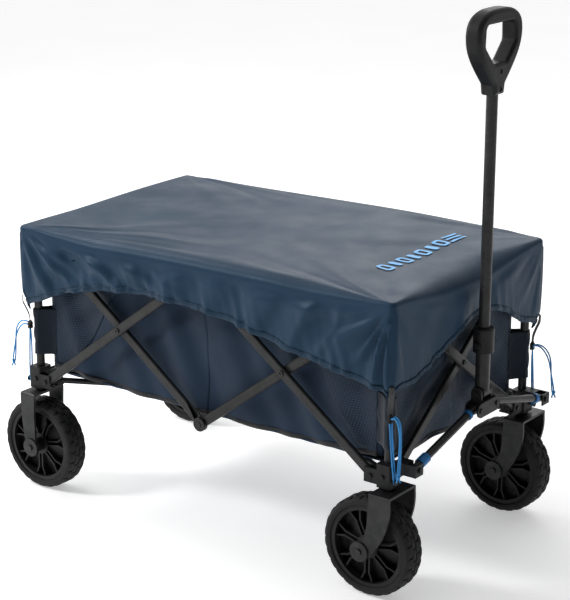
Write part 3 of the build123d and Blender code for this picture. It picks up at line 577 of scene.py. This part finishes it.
def add_knot(corner, low, lean):
    """An overhand knot at the low end of a cord's tail, with two short ends below it."""
    turns = []
    for a in np.linspace(0, 2 * math.pi, 17):
        turns.append(low + 0.00125 * Vector((math.sin(a) + 2 * math.sin(2 * a), -math.sin(3 * a),
                                             math.cos(a) - 2 * math.cos(2 * a))))
    routes = [turns]
    for line in SHORT_ENDS:
        routes.append([low + Vector(point) for point in line])
        routes[-1][-1] += lean
    return cord_curve(f"{corner}_knot", routes, 12, 4)


def finish_cords(elastics):
    """Knot each cord's tail, once its lock is there."""
    for corner, (piece, route) in elastics.items():
        end = CORNERS[corner][0]
        low = sum((Vector(route[n]) for n in TAIL_TURN), Vector()) / 2 + Vector((0, 0, 0.003))
        knot = add_knot(corner, low, Vector((0.001 * end, 0, 0)))
        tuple(route[0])


# ---- fitted cover ----------------------------------------
RIM_X = (COVER_HIGH.x - COVER_LOW.x) / 2 + 0.003     # the cloth stands just off the CAD solid
RIM_Y = (COVER_HIGH.y - COVER_LOW.y) / 2 + 0.0025
COVER_TOP = COVER_HIGH.z
COVER_CORNER = 0.011
RIM_STEP = 0.005
TOP_ROWS = 46
ROLL_ROWS = 9
SKIRT_ROWS = 34
CLOTH = 0.0012
BAND_TALL = 0.012
BAND_ROWS = 6
BELLY = 0.0022                # how far a skirt bulges halfway down
# width and depth of the rounded top edge in the middle of a side, beyond its least
ROLL_LEAST = 0.008
ROLL_WIDE = {"right": 0.020, "front": 0.058, "left": 0.003, "rear": 0.004}
ROLL_DEEP = {"right": 0.013, "front": 0.020, "left": 0.002, "rear": 0.003}
# where the skirts may be, from the middle, to clear the bars and posts behind them
SKIRT_Y = (0.2572, 0.2735)
SKIRT_X = (0.4450, 0.4625)
SKIRT_SEEDS = {"right": 21, "front": 31, "left": 41, "rear": 51}
# lower edges of the skirts: place along the side, height
SIDE_HEM = [(-0.452, 0.385), (-0.436, 0.397), (-0.405, 0.409), (-0.347, 0.434), (-0.225, 0.465),
            (-0.05, 0.475), (0.1, 0.461), (0.25, 0.432), (0.38, 0.409), (0.43, 0.398),
            (0.452, 0.385)]
END_HEM = [(-0.262, 0.385), (-0.245, 0.398), (-0.2, 0.402), (-0.15, 0.413), (-0.086, 0.441),
           (0.026, 0.474), (0.11, 0.460), (0.19, 0.417), (0.245, 0.399), (0.262, 0.385)]
# folds that fan from a top corner over a skirt: degrees below the rim, spread, depth, reach
FAN_REAR = [(11, 4.5, 0.0060, 0.40), (21, 4, -0.0056, 0.34), (31, 5.0, 0.0078, 0.32),
            (44, 5, -0.0052, 0.24), (58, 6, 0.0056, 0.18), (74, 5, -0.0040, 0.16)]
FAN_FRONT = [(14, 5, 0.0040, 0.34), (27, 5, -0.0042, 0.28), (40, 5, 0.0054, 0.24),
             (50, 4, -0.0060, 0.24), (59, 3.6, 0.0084, 0.26), (67, 3.2, -0.0078, 0.26),
             (74, 2.8, 0.0090, 0.27), (80, 2.2, -0.0062, 0.27), (86, 2.0, 0.0060, 0.27)]
FAN_END = [(12, 5, 0.0030, 0.22), (30, 7, -0.0032, 0.18), (52, 6, 0.0038, 0.16),
           (70, 4, -0.0036, 0.15), (80, 2.6, 0.0036, 0.16)]
# creases down a skirt: start along its rim, degrees below the rim, width, depth, length
CREASE_REAR = [(0.045, 34, 0.010, 0.0060, 0.20), (0.085, 40, 0.009, -0.0050, 0.16),
               (0.125, 31, 0.012, 0.0066, 0.24), (0.175, 36, 0.010, -0.0048, 0.20),
               (0.235, 30, 0.014, 0.0050, 0.22), (0.315, 38, 0.012, 0.0040, 0.16)]
CREASE_FRONT = [(0.096, 62, 0.009, 0.0044, 0.22), (0.140, 54, 0.010, 0.0036, 0.20),
                (0.205, 46, 0.013, 0.0036, 0.20)]
# pulls in the top: corner by its signs of X and Y, then degrees off the long edge, spread, depth
TOP_PULLS = [
    (-1, -1, [(3.5, 1.3, 0.0022), (8, 1.6, -0.0020), (12.5, 1.8, 0.0022), (19, 2.6, -0.0016),
              (30, 4, 0.0013)]),
    (1, -1, [(5, 1.6, 0.0014), (12, 2.4, -0.0014), (24, 4, 0.0016), (44, 5, -0.0016),
             (62, 5, 0.0016)]),
    (1, 1, [(6, 2, 0.0012), (15, 3, -0.0012), (38, 5, 0.0014)]),
    (-1, 1, [(6, 2, 0.0012), (17, 3, -0.0012), (40, 5, 0.0010)]),
]


def ripple(seed, slow, fast, terms=7):
    """A smooth random wave over metres, about -1 to 1, with wavelengths from fast to slow."""
    rng = np.random.default_rng(seed)
    lengths = np.exp(rng.uniform(math.log(fast), math.log(slow), terms))
    phases = rng.uniform(0, 2 * math.pi, terms)
    weights = rng.uniform(0.5, 1.0, terms)
    return lambda t: sum(w * np.sin(2 * math.pi * t / n + p) for w, n, p in
                         zip(weights, lengths, phases)) / math.sqrt(terms * 0.35)


def fan(folds, along, below):
    """Outward push of folds that leave a corner, at distances along and below its rim."""
    reach = np.hypot(along, below)
    angle = np.degrees(np.arctan2(np.maximum(below, 0), np.maximum(along, 1e-6)))
    push = 0.0
    for centre, spread, depth, far in folds:
        bend = centre + 5 * np.sin(reach * 11 + centre)
        push = push + depth * np.exp(-((angle - bend) / spread) ** 2) * (
            ease((reach - 0.012) / 0.07) * (1 - ease((reach - far * 0.5) / (far * 0.75))))
    return push


def crease(creases, along, below):
    """Outward push of nearly straight creases that start along the rim."""
    push = 0.0
    for start, slope, width, depth, length in creases:
        turn = math.radians(slope)
        run = (along - start) * math.cos(turn) + below * math.sin(turn)
        off = below * math.cos(turn) - (along - start) * math.sin(turn)
        off = off + 0.005 * np.sin(run * 30 + start * 90)
        push = push + depth * np.exp(-(off / width) ** 2) * ease(run / 0.05) * (
            1 - ease((run - length * 0.55) / (length * 0.6)))
    return push


def top_height(x, y):
    """Height of the stretched top: a crown, a sag, soft waves and pulls from the corners."""
    arch_x = 1 - (x / RIM_X) ** 2
    arch_y = 1 - (y / RIM_Y) ** 2
    crown = 0.004 * arch_x + 0.0015 * arch_y - 0.003 * arch_x * arch_y
    low_corner = -0.005 * ease((RIM_X * 0.3 - x) / RIM_X) * ease((RIM_Y * 0.5 - y) / RIM_Y)
    long_wave = ripple(11, 0.50, 0.22)
    cross_wave = ripple(12, 0.34, 0.16)
    inside = ease((RIM_X - np.abs(x)) / 0.10) * ease((RIM_Y - np.abs(y)) / 0.10)
    slow = inside * (0.0010 * long_wave(x + 0.35 * y) + 0.0009 * cross_wave(y - 0.2 * x))
    pulls = 0.0
    for sx, sy, folds in TOP_PULLS:
        along = RIM_X - sx * x
        across = RIM_Y - sy * y
        reach = np.hypot(along, across)
        angle = np.degrees(np.arctan2(across, along))
        for centre, spread, depth in folds:
            bend = centre * (1 + 0.18 * np.sin(reach * 7 + centre))
            pulls = pulls + depth * np.exp(-((angle - bend) / spread) ** 2) * (
                ease(reach / 0.09) * (1 - ease((reach - 0.22) / 0.34)))
    far_edge = 0.007 * np.exp(-((x - 0.20) / 0.30) ** 2) * ease((y / RIM_Y + 0.2) / 1.2)
    return COVER_TOP + crown + low_corner + far_edge + slow + pulls


def cover_columns():
    """Columns round the rim: side, place along it, rim point, outward direction, corner gap."""
    columns = []
    for side, (face_x, face_y) in FACING.items():
        facing = np.array([face_x, face_y], float)
        along = np.array([-face_y, face_x], float)
        half, out = (RIM_X, RIM_Y) if side in LONG_SIDES else (RIM_Y, RIM_X)
        run = half - COVER_CORNER
        for t in np.linspace(-run, run, int(2 * run / RIM_STEP)):
            columns.append((side, t, along * t + facing * out, facing, run - abs(t)))
        centre = along * run + facing * (out - COVER_CORNER)
        for turn in np.linspace(0, math.pi / 2, 7)[1:-1]:
            face = facing * math.cos(turn) + along * math.sin(turn)
            columns.append((side, half - COVER_CORNER * (1 - math.sin(turn)),
                            centre + COVER_CORNER * face, face, 0.0))
    return columns


def skirt_shape(side, t, below, hem_gap):
    """Outward place of the skirt relative to the rim, below the rim and above its hem."""
    forward = t if side in ("right", "front") else -t
    if side in LONG_SIDES:
        reach = RIM_X
        calm = 1.0
        push = fan(FAN_REAR, reach + forward, below) + fan(FAN_FRONT, reach - forward, below)
        push = push + crease(CREASE_REAR, reach + forward, below) + crease(
            CREASE_FRONT, reach - forward, below)
    else:
        reach = RIM_Y
        calm = 0.5
        push = fan(FAN_END, reach + forward, below) + fan(FAN_END, reach - forward, below)
    push = push * calm
    seed = SKIRT_SEEDS[side]
    middle_only = calm * ease((reach - abs(t)) / 0.12)
    ruffle = ripple(seed, 0.016, 0.008)(t + 0.06 * below)
    gather = ripple(seed + 1, 0.060, 0.022)(t + 0.25 * hem_gap)
    drape = ripple(seed + 2, 0.24, 0.09)(t + 0.5 * below)
    push = push + middle_only * (0.0017 * gather * np.exp(-hem_gap / 0.045)
                                 + 0.0034 * drape * ease(below / 0.04))
    push = push + 0.0012 * ruffle * np.exp(-hem_gap / 0.016)
    total = below + hem_gap
    push = push + BELLY * np.sin(math.pi * np.clip(below / np.maximum(total, 1e-4), 0, 1))
    return push - BELLY * (below / np.maximum(total, 1e-4))


def hem_height(side, t):
    """Height of a skirt's arched lower edge, a little uneven away from the corners."""
    forward = t if side in ("right", "front") else -t
    line, reach = (SIDE_HEM, RIM_X) if side in LONG_SIDES else (END_HEM, RIM_Y)
    inner = ease((reach - abs(t)) / 0.08)
    base = curve_through(line, np.clip(forward, -reach, reach))
    return base + inner * 0.0006 * ripple(61, 0.05, 0.018)(t)


def cover_grid():
    """Points of the cover, row by row from its middle to its hem, and their flat places."""
    rows, flats = [], []
    columns = cover_columns()
    for side, t, rim, face, gap in columns:
        soft = float(ease(gap / 0.20))
        wide = ROLL_LEAST + ROLL_WIDE[side] * soft
        deep = ROLL_LEAST + ROLL_DEEP[side] * soft
        inner = rim - face * wide
        points, flat = [], []
        for k in np.linspace(0.03, 1, TOP_ROWS):
            x, y = inner * k
            points.append((x, y, top_height(x, y)))
            flat.append((x, y))
        edge = top_height(*inner)
        lower = edge - deep
        bottom = float(hem_height(side, t))
        for turn in np.linspace(0, math.pi / 2, ROLL_ROWS)[1:]:
            x, y = inner + face * wide * math.sin(turn)
            points.append((x, y, edge - deep * (1 - math.cos(turn))))
            flat.append(inner + face * (wide * turn))
        for k in np.linspace(0, 1, SKIRT_ROWS)[1:]:
            z = lower + (bottom - lower) * k
            fade = float(ease((lower - z) / 0.03))
            push = fade * float(skirt_shape(side, t, lower - z + deep, z - bottom))
            x, y = rim + face * push
            points.append((x, y, z))
            flat.append(rim + face * (COVER_TOP - z))
        rows.append(points)
        flats.append(flat)
    grid = np.array(rows).transpose(1, 0, 2)
    uv = np.array(flats).transpose(1, 0, 2)
    grid[:, :, 0] += MID_X
    return grid, uv, columns


def soft_limits(value, low, high, soft=0.0016):
    """The value held between two limits, with rounded rather than cut turns."""
    above = value - low
    value = low + 0.5 * (above + np.sqrt(above**2 + soft**2))
    left = high - value
    return high - 0.5 * (left + np.sqrt(left**2 + soft**2))


def keep_clear(grid):
    """Hold the skirts off what stands behind them, and tuck their tips in to the posts."""
    skirt = grid[TOP_ROWS + ROLL_ROWS:]
    x = skirt[:, :, 0] - MID_X
    y = skirt[:, :, 1]
    on_side = np.abs(y) > RIM_Y - 0.014
    on_end = np.abs(x) > RIM_X - 0.014
    corner = ease((np.abs(x) + np.abs(y) - RIM_X - RIM_Y + 0.075) / 0.055)
    tuck = 0.0085 * corner * ease((0.425 - skirt[:, :, 2]) / 0.040)
    skirt[:, :, 1] = np.where(
        on_side, np.sign(y) * (soft_limits(np.abs(y), *SKIRT_Y) - tuck), y)
    skirt[:, :, 0] = MID_X + np.where(
        on_end, np.sign(x) * (soft_limits(np.abs(x), *SKIRT_X) - tuck), x)


def build_cover():
    grid, uv, columns = cover_grid()
    keep_clear(grid)
    rows, count = grid.shape[:2]
    points = np.vstack([grid.reshape(-1, 3), [[MID_X, 0, top_height(0.0, 0.0)]]])
    flat = np.vstack([uv.reshape(-1, 2), [[0, 0]]])
    faces = [tuple(reversed(f)) for f in grid_faces(rows, count, closed=True)]
    faces += [(rows * count, c, (c + 1) % count) for c in range(count)]
    piece = mesh_object("fitted_cover", points, faces, flat)
    thicken(piece, CLOTH, offset=-1)
    finish_piece(piece, "cover", "cover_fabric", replaced=["cover"])
    hem = build_band(grid, columns)


def build_band(grid, columns):
    """The gathered elastic band along the skirts' lower edge."""
    bottoms = grid[-1]
    faces_out = np.array([[*c[3], 0] for c in columns])
    upward = grid[-2] - grid[-1]
    upward /= np.linalg.norm(upward, axis=1)[:, None]
    length = np.concatenate([[0], np.cumsum(np.linalg.norm(np.diff(bottoms, axis=0), axis=1))])
    puff = 0.5 + 0.5 * ripple(71, 0.016, 0.009)(length)
    band, band_uv = [], []
    for k in np.linspace(0, 1, BAND_ROWS):
        swell = 0.0001 + 0.0015 * math.sin(math.pi * k) ** 0.7 * (0.6 + 0.6 * puff)
        row = bottoms + upward * (k * BAND_TALL - 0.0006)
        row[:, :2] = grid[-1 - int(round(k * 3)), :, :2]
        band.append(row + faces_out * swell[:, None])
        band_uv.append(np.stack([length, np.full_like(length, k * BAND_TALL)], 1))
    hem = grid_mesh("cover_hem", band, band_uv, closed=True)
    thicken(hem, 0.0012)
    return finish_piece(hem, "cover", "cover_fabric", "hem_fabric")


# ---- printed motif: a row of plain rings and bars --------
MOTIF_X = 0.318
MOTIF_START_Y = -0.088
MOTIF_PITCH = 0.031
MOTIF_LIFT = 0.0016


def build_motif():
    """Thin blue shapes printed across the cover's top near the handle end."""
    points, faces = [], []

    def shape(*outlines):
        """One filled outline, or the band between an outline and its hole."""
        base = len(points)
        n = len(outlines[0])
        for outline in outlines:
            points.extend((MID_X + x, y, top_height(x, y) + MOTIF_LIFT) for x, y in outline)
        if len(outlines) == 1:
            faces.append(tuple(range(base, base + n)))
        else:
            faces.extend((base + k, base + (k + 1) % n, base + n + (k + 1) % n, base + n + k)
                         for k in range(n))

    def rounded(cx, cy, half_x, half_y, power=4.0, steps=28):
        """A box with full round corners, drawn as one closed curve."""
        angles = np.linspace(0, 2 * math.pi, steps, endpoint=False)
        return [(cx + half_x * math.copysign(abs(math.cos(a)) ** (2 / power), math.cos(a)),
                 cy + half_y * math.copysign(abs(math.sin(a)) ** (2 / power), math.sin(a)))
                for a in angles]

    for k in range(7):
        y = MOTIF_START_Y + MOTIF_PITCH * k
        if k % 2:
            shape(rounded(MOTIF_X, y, 0.015, 0.0065))
        else:
            shape(rounded(MOTIF_X, y, 0.017, 0.012), rounded(MOTIF_X, y, 0.0105, 0.0055))
    for k in range(3):
        shape(rounded(MOTIF_X - 0.014 + 0.014 * k, 0.148 - 0.004 * k, 0.0035, 0.026))
    motif = mesh_object("cover_motif", points, faces, [(p[0], p[1]) for p in points])
    finish_piece(motif, "cover", "cover_fabric", "print")


# ---- straps and cord locks -------------------------------
# a strap from the cover's hem down to its lock: (u, v) inward from the post and height
STRAP_LINE = [(-0.0108, -0.0148, 0.354), (-0.0115, -0.0160, 0.372), (-0.0150, -0.0195, 0.386),
              (-0.0190, -0.0240, 0.400), (-0.0195, -0.0245, 0.414)]
STRAP_HALF = 0.005
# height and scale of each ring of a lock's ribbed barrel and plunger
LOCK_RINGS = [(0.343, 0.80), (0.3436, 0.95), (0.3448, 1.0), (0.3475, 1.0), (0.3481, 0.92),
              (0.3491, 0.92), (0.3497, 1.0), (0.3512, 1.0), (0.3518, 0.92), (0.3528, 0.92),
              (0.3534, 1.0), (0.3550, 1.0), (0.3562, 0.9), (0.3565, 0.62), (0.3590, 0.60),
              (0.3598, 0.5)]
LOCK_STEPS = 28


def build_corner_fittings():
    for corner in CORNERS:
        build_strap(corner)
        build_lock(corner)


def build_strap(corner):
    end, side = CORNERS[corner]
    across = Vector((-side, end, 0)).normalized()

    def place(z, j):
        u = float(curve_through([(p[2], p[0]) for p in STRAP_LINE], z))
        v = float(curve_through([(p[2], p[1]) for p in STRAP_LINE], z))
        point = Vector(corner_point(corner, u, v, z)) + across * (STRAP_HALF * j)
        return tuple(point), (STRAP_HALF * j, z)

    heights = np.linspace(STRAP_LINE[0][2], STRAP_LINE[-1][2], 22)
    strap = cloth_piece(f"{corner}_strap", heights, np.linspace(-1, 1, 7), place, 0.0016)
    finish_piece(strap, "cover", "webbing",
                 replaced=["cover_straps"] if corner == "front_right" else [])


def build_lock(corner):
    """A sprung cord lock: a ribbed barrel with a plunger on its top."""
    points = []
    for z, scale in LOCK_RINGS:
        for a in np.linspace(0, 2 * math.pi, LOCK_STEPS, endpoint=False):
            u = -0.011 - 0.0042 * scale * math.copysign(abs(math.cos(a)) ** 0.7, math.cos(a))
            v = -0.0145 - 0.0056 * scale * math.copysign(abs(math.sin(a)) ** 0.7, math.sin(a))
            points.append(corner_point(corner, u, v, z))
    faces = grid_faces(len(LOCK_RINGS), LOCK_STEPS, closed=True)
    faces.append(tuple(range(LOCK_STEPS)))
    faces.append(tuple(range(len(points) - LOCK_STEPS, len(points))))
    lock = mesh_object(f"{corner}_cord_lock", points, faces)
    face_outward(lock)
    finish_piece(lock, "cover", "bracket",
                 replaced=["cord_locks"] if corner == "front_right" else [])


# ---- tyres with shoulder blocks --------------------------
TREAD_BLOCKS = 26
TREAD_ROUND = 0.0007          # a block's outer edges are lower by this
TREAD_DEEP = 0.004            # the blocks' roots, inside the tyre's body
TREAD_FLOOR = 0.0905
BLOCK_LONG = 0.80             # a block's length and the shift of the inner row, in pitches
ROW_SHIFT = 0.34
# the tread's outer face: place across from the middle, radius
TREAD_TOP = [(0.0, 0.0950), (0.017, 0.0948), (0.0215, 0.0925), (0.0245, 0.0885)]
# across one half of the tyre's body, from the bead to the crown: place across, radius
TYRE_HALF = [(-0.0190, 0.0782), (-0.0232, 0.0792), (-0.0243, 0.0806), (-0.0236, 0.0813),
             (-0.0240, 0.0820), (-0.0250, 0.0850), (-0.0240, 0.0885), (-0.0205, 0.0915),
             (-0.0100, 0.0928), (0.0, 0.0930)]
TYRE_PROFILE = TYRE_HALF + [(-y, r) for y, r in reversed(TYRE_HALF[:-1])]
TYRE_STEPS = 156


def tread_height(y):
    return float(np.interp(abs(y), [p[0] for p in TREAD_TOP], [p[1] for p in TREAD_TOP]))


def build_tyre(corner):
    """A tyre's body with two rows of tread blocks on each side of its middle."""
    hub = middle(f"{corner}_tyre")
    points = []

    def place(angle, radius, y):
        points.append((hub.x + radius * math.sin(angle), hub.y + y,
                       hub.z + radius * math.cos(angle)))

    for y, radius in TYRE_PROFILE:
        for turn in np.linspace(0, 2 * math.pi, TYRE_STEPS, endpoint=False):
            place(turn, radius, y)
    faces = grid_faces(len(TYRE_PROFILE), TYRE_STEPS, closed=True)
    last = (len(TYRE_PROFILE) - 1) * TYRE_STEPS
    faces += [(last + k, last + (k + 1) % TYRE_STEPS, (k + 1) % TYRE_STEPS, k)
              for k in range(TYRE_STEPS)]
    smooth_faces = len(faces)

    def block(start, width, y0, y1):
        base = len(points)
        across = np.linspace(y0, y1, 6)
        turns = np.linspace(start, start + width, 4)
        for y in across:
            for turn in turns:
                on_edge = turn in (turns[0], turns[-1]) or y in (across[0], across[-1])
                place(turn, tread_height(y) - (TREAD_ROUND if on_edge else 0.0), y)
        for y in across:
            for turn in turns:
                place(turn, min(TREAD_FLOOR, tread_height(y) - TREAD_DEEP), y)
        faces.extend([tuple(base + v for v in f) for f in grid_faces(6, 4)])
        loop = [0, 1, 2, 3, 7, 11, 15, 19, 23, 22, 21, 20, 16, 12, 8, 4]    # round its outside
        faces.extend((base + a, base + b, base + b + 24, base + a + 24)
                     for a, b in zip(loop, loop[1:] + loop[:1]))

    pitch = 2 * math.pi / TREAD_BLOCKS
    for k in range(TREAD_BLOCKS):
        for wing, shift in ((1, 0.0), (-1, 0.5)):
            start = (k + shift) * pitch
            block(start, BLOCK_LONG * pitch, wing * 0.0115, wing * 0.0245)
            block(start + ROW_SHIFT * pitch, BLOCK_LONG * pitch, wing * 0.0016, wing * 0.0108)
    tyre = mesh_object(f"{corner}_treaded_tyre", points, faces)
    face_outward(tyre)
    tyre.data.polygons.foreach_set(
        "use_smooth", [k < smooth_faces for k in range(len(tyre.data.polygons))])
    finish_piece(tyre, f"{corner}_wheel", "tyre", replaced=[f"{corner}_tyre"])


# ---- basket: eight half walls, corner strips with sleeves, and the floor ----
WALL_X = (WALL_HIGH.x - WALL_LOW.x) / 2
WALL_Y = (WALL_HIGH.y - WALL_LOW.y) / 2
WALL_TOP = WALL_HIGH.z
WALL_CORNER = 0.020
WALL_LOWEST = 0.2480
INSET = 0.001                 # the cloth's middle lies inside the CAD wall's face
LAP = 0.016                   # how far one half wall runs under the other
LAP_STEP = 0.0005
WALL_SEEDS = {"right": 100, "left": 110, "front": 120, "rear": 130}
SLEEVE_Z = (0.288, 0.385)
FLOOR_EDGE = 0.006            # gap between the floor and the walls


def upper_body(corner):
    return f"{corner}_upper_post"


def wall_bottom(share):
    """Height of a wall's lower hem, from the middle (0) to a corner (1) of its side."""
    return WALL_LOWEST + 0.014 * share ** 4


def wall_push(seed, t, z, half):
    """Soft creases of a hung wall: diagonal pulls, loose belly and puckers at the hem."""
    drape = ripple(seed, 0.22, 0.07)(t + 0.45 * z)
    pull = ripple(seed + 1, 0.11, 0.05)(t * 0.7 - z)
    low = np.exp(-(z - 0.25) / 0.05)
    edge = ease((half - abs(t)) / 0.05)
    return edge * (-0.004 + 0.0030 * drape + 0.0014 * pull - 0.002 * low)


def build_wall_half(side, corner):
    """Half of a wall, on the post at its end, with its hem and, on a long side, its net."""
    end, wing = CORNERS[corner]
    long_side = side in LONG_SIDES
    half = (WALL_X if long_side else WALL_Y) - WALL_CORNER
    sign = end if long_side else wing
    seed = WALL_SEEDS[side]
    lap = LAP if sign > 0 else 0.0

    def place(k, t):
        bottom = wall_bottom(max(t, 0) / half)
        z = bottom + (WALL_TOP - bottom) * k
        push = float(wall_push(seed, sign * t, z, half)) - (LAP_STEP if t < 0 else 0)
        if long_side:
            point = (MID_X + sign * t, wing * (WALL_Y - INSET + push), z)
        else:
            point = (MID_X + end * (WALL_X - INSET + push), sign * t, z)
        return point, (sign * t, z)

    if long_side:
        name = f"{side}_wall_{'front' if end > 0 else 'rear'}"
        look = "basket_fabric"
    else:
        name = f"{side}_wall_{'left' if wing > 0 else 'right'}"
        look = "net_panel"
    columns = np.linspace(-lap, half, 72 if long_side else 44)
    wall = cloth_piece(name, np.linspace(0, 1, 48), columns, place, 0.0010)
    finish_piece(wall, upper_body(corner), "basket_fabric", look, ["basket_walls"])
    extras = [build_net(side, corner, half, seed)] if long_side else []
    extras.append(build_wall_hem(corner, long_side, [place(0, t)[0] for t in columns], name))
    for piece in [wall] + extras:
        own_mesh(piece)


def build_net(side, corner, half, seed):
    """Netted triangle in a wall's lower corner, its long edge rising towards the post."""
    end, wing = CORNERS[corner]
    bottom = wall_bottom(1.0) + 0.004
    top = WALL_TOP - 0.02

    def place(k, j):
        z = bottom + (top - bottom) * k
        reach = 0.030 + 0.175 * k ** 0.8
        t = half - 0.002 - reach * j
        push = float(wall_push(seed, end * t, z, half)) + 0.0012
        return (MID_X + end * t, wing * (WALL_Y - INSET + push), z), (end * t, z)

    net = cloth_piece(f"{side}_net_{'front' if end > 0 else 'rear'}", np.linspace(0, 1, 30),
                      np.linspace(0, 1, 26), place, 0.0006)
    return finish_piece(net, upper_body(corner), "basket_fabric", "net_panel")


def build_wall_hem(corner, long_side, lowest, name):
    """Bound lower edge of a wall, along the lowest row of its points."""
    end, wing = CORNERS[corner]
    out = np.array([0, wing, 0]) if long_side else np.array([end, 0, 0])

    def place(k, n):
        swell = out * (0.0012 * math.sin(math.pi * k) + 0.0006)
        lift = np.array([0, 0, 0.009 * k - 0.001])
        return np.array(lowest[n]) + swell + lift, (n * 0.006, k * 0.009)

    hem = cloth_piece(f"{name}_hem", np.linspace(0, 1, 5), range(len(lowest)), place, 0.0014)
    return finish_piece(hem, upper_body(corner), "basket_fabric", "dark_webbing")


def sleeve_path(radius):
    """Plan of the cloth that ties the basket's corner round its post: (u, v) inward metres."""
    side_run = [(0.036 + (0.004 - 0.036) * k, 0.0135 + (-radius - 0.0135) * k ** 1.6)
                for k in np.linspace(0, 1, 12)]
    round_post = [(-radius * math.sin(a), -radius * math.cos(a))
                  for a in np.linspace(0.1, math.pi / 2 - 0.1, 10)]
    end_run = [(v, u) for u, v in reversed(side_run)]
    return side_run + round_post + end_run


def build_corner_strip(corner):
    """The basket's rounded corner, with the sleeve round the post that holds it."""
    end, wing = CORNERS[corner]
    wrap = sleeve_path(POST_R + 0.0016)

    def strip_place(z, a):
        x = MID_X + end * (WALL_X - INSET - WALL_CORNER * (1 - math.sin(a)))
        y = wing * (WALL_Y - INSET - WALL_CORNER * (1 - math.cos(a)))
        return (x, y, z), (WALL_CORNER * a, z)

    def sleeve_place(z, k):
        u, v = wrap[k]
        wrinkle = 0.0006 * math.sin(0.5 * k + 150 * z) + 0.0004 * math.sin(260 * z + k)
        return corner_point(corner, u - wrinkle, v - wrinkle, z), (0.002 * k, z)

    strip = cloth_piece(f"{corner}_basket_corner", np.linspace(wall_bottom(1.0), WALL_TOP, 40),
                        np.linspace(0, math.pi / 2, 14), strip_place, 0.0010)
    finish_piece(strip, upper_body(corner), "basket_fabric")
    sleeve = cloth_piece(f"{corner}_post_sleeve", np.linspace(*SLEEVE_Z, 30), range(len(wrap)),
                         sleeve_place, 0.0010)
    finish_piece(sleeve, upper_body(corner), "basket_fabric", "sleeve_fabric")


def build_floor_quarter(corner):
    """A quarter of the padded floor, on its strut's body."""
    end, wing = CORNERS[corner]

    def place(a, b):
        x = (WALL_X - FLOOR_EDGE) * a
        y = (WALL_Y - FLOOR_EDGE) * b
        quilt = 0.0010 * math.sin(24 * a) * math.sin(18 * b)
        return (MID_X + end * x, wing * y, FLOOR_HIGH.z - 0.0015 + quilt), (x, y)

    quarter = cloth_piece(f"{corner}_floor_quarter", np.linspace(0, 1, 30),
                          np.linspace(0, 1, 22), place, 0.003)
    finish_piece(quarter, f"{corner}_floor_strut", "basket_fabric", replaced=["basket_floor"])
    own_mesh(quarter)


def build_basket():
    for side in LONG_SIDES:
        for end in ("front", "rear"):
            build_wall_half(side, f"{end}_{side}")
    for end in ("front", "rear"):
        for side in LONG_SIDES:
            build_wall_half(end, f"{end}_{side}")
    for corner in CORNERS:
        build_corner_strip(corner)
        build_floor_quarter(corner)


make_materials()
add_camera()
add_studio()
ELASTICS = {corner: add_cord(corner) for corner in CORNERS}
build_cover()
build_motif()
build_corner_fittings()
build_basket()
finish_cords(ELASTICS)
for corner in CORNERS:
    build_tyre(corner)
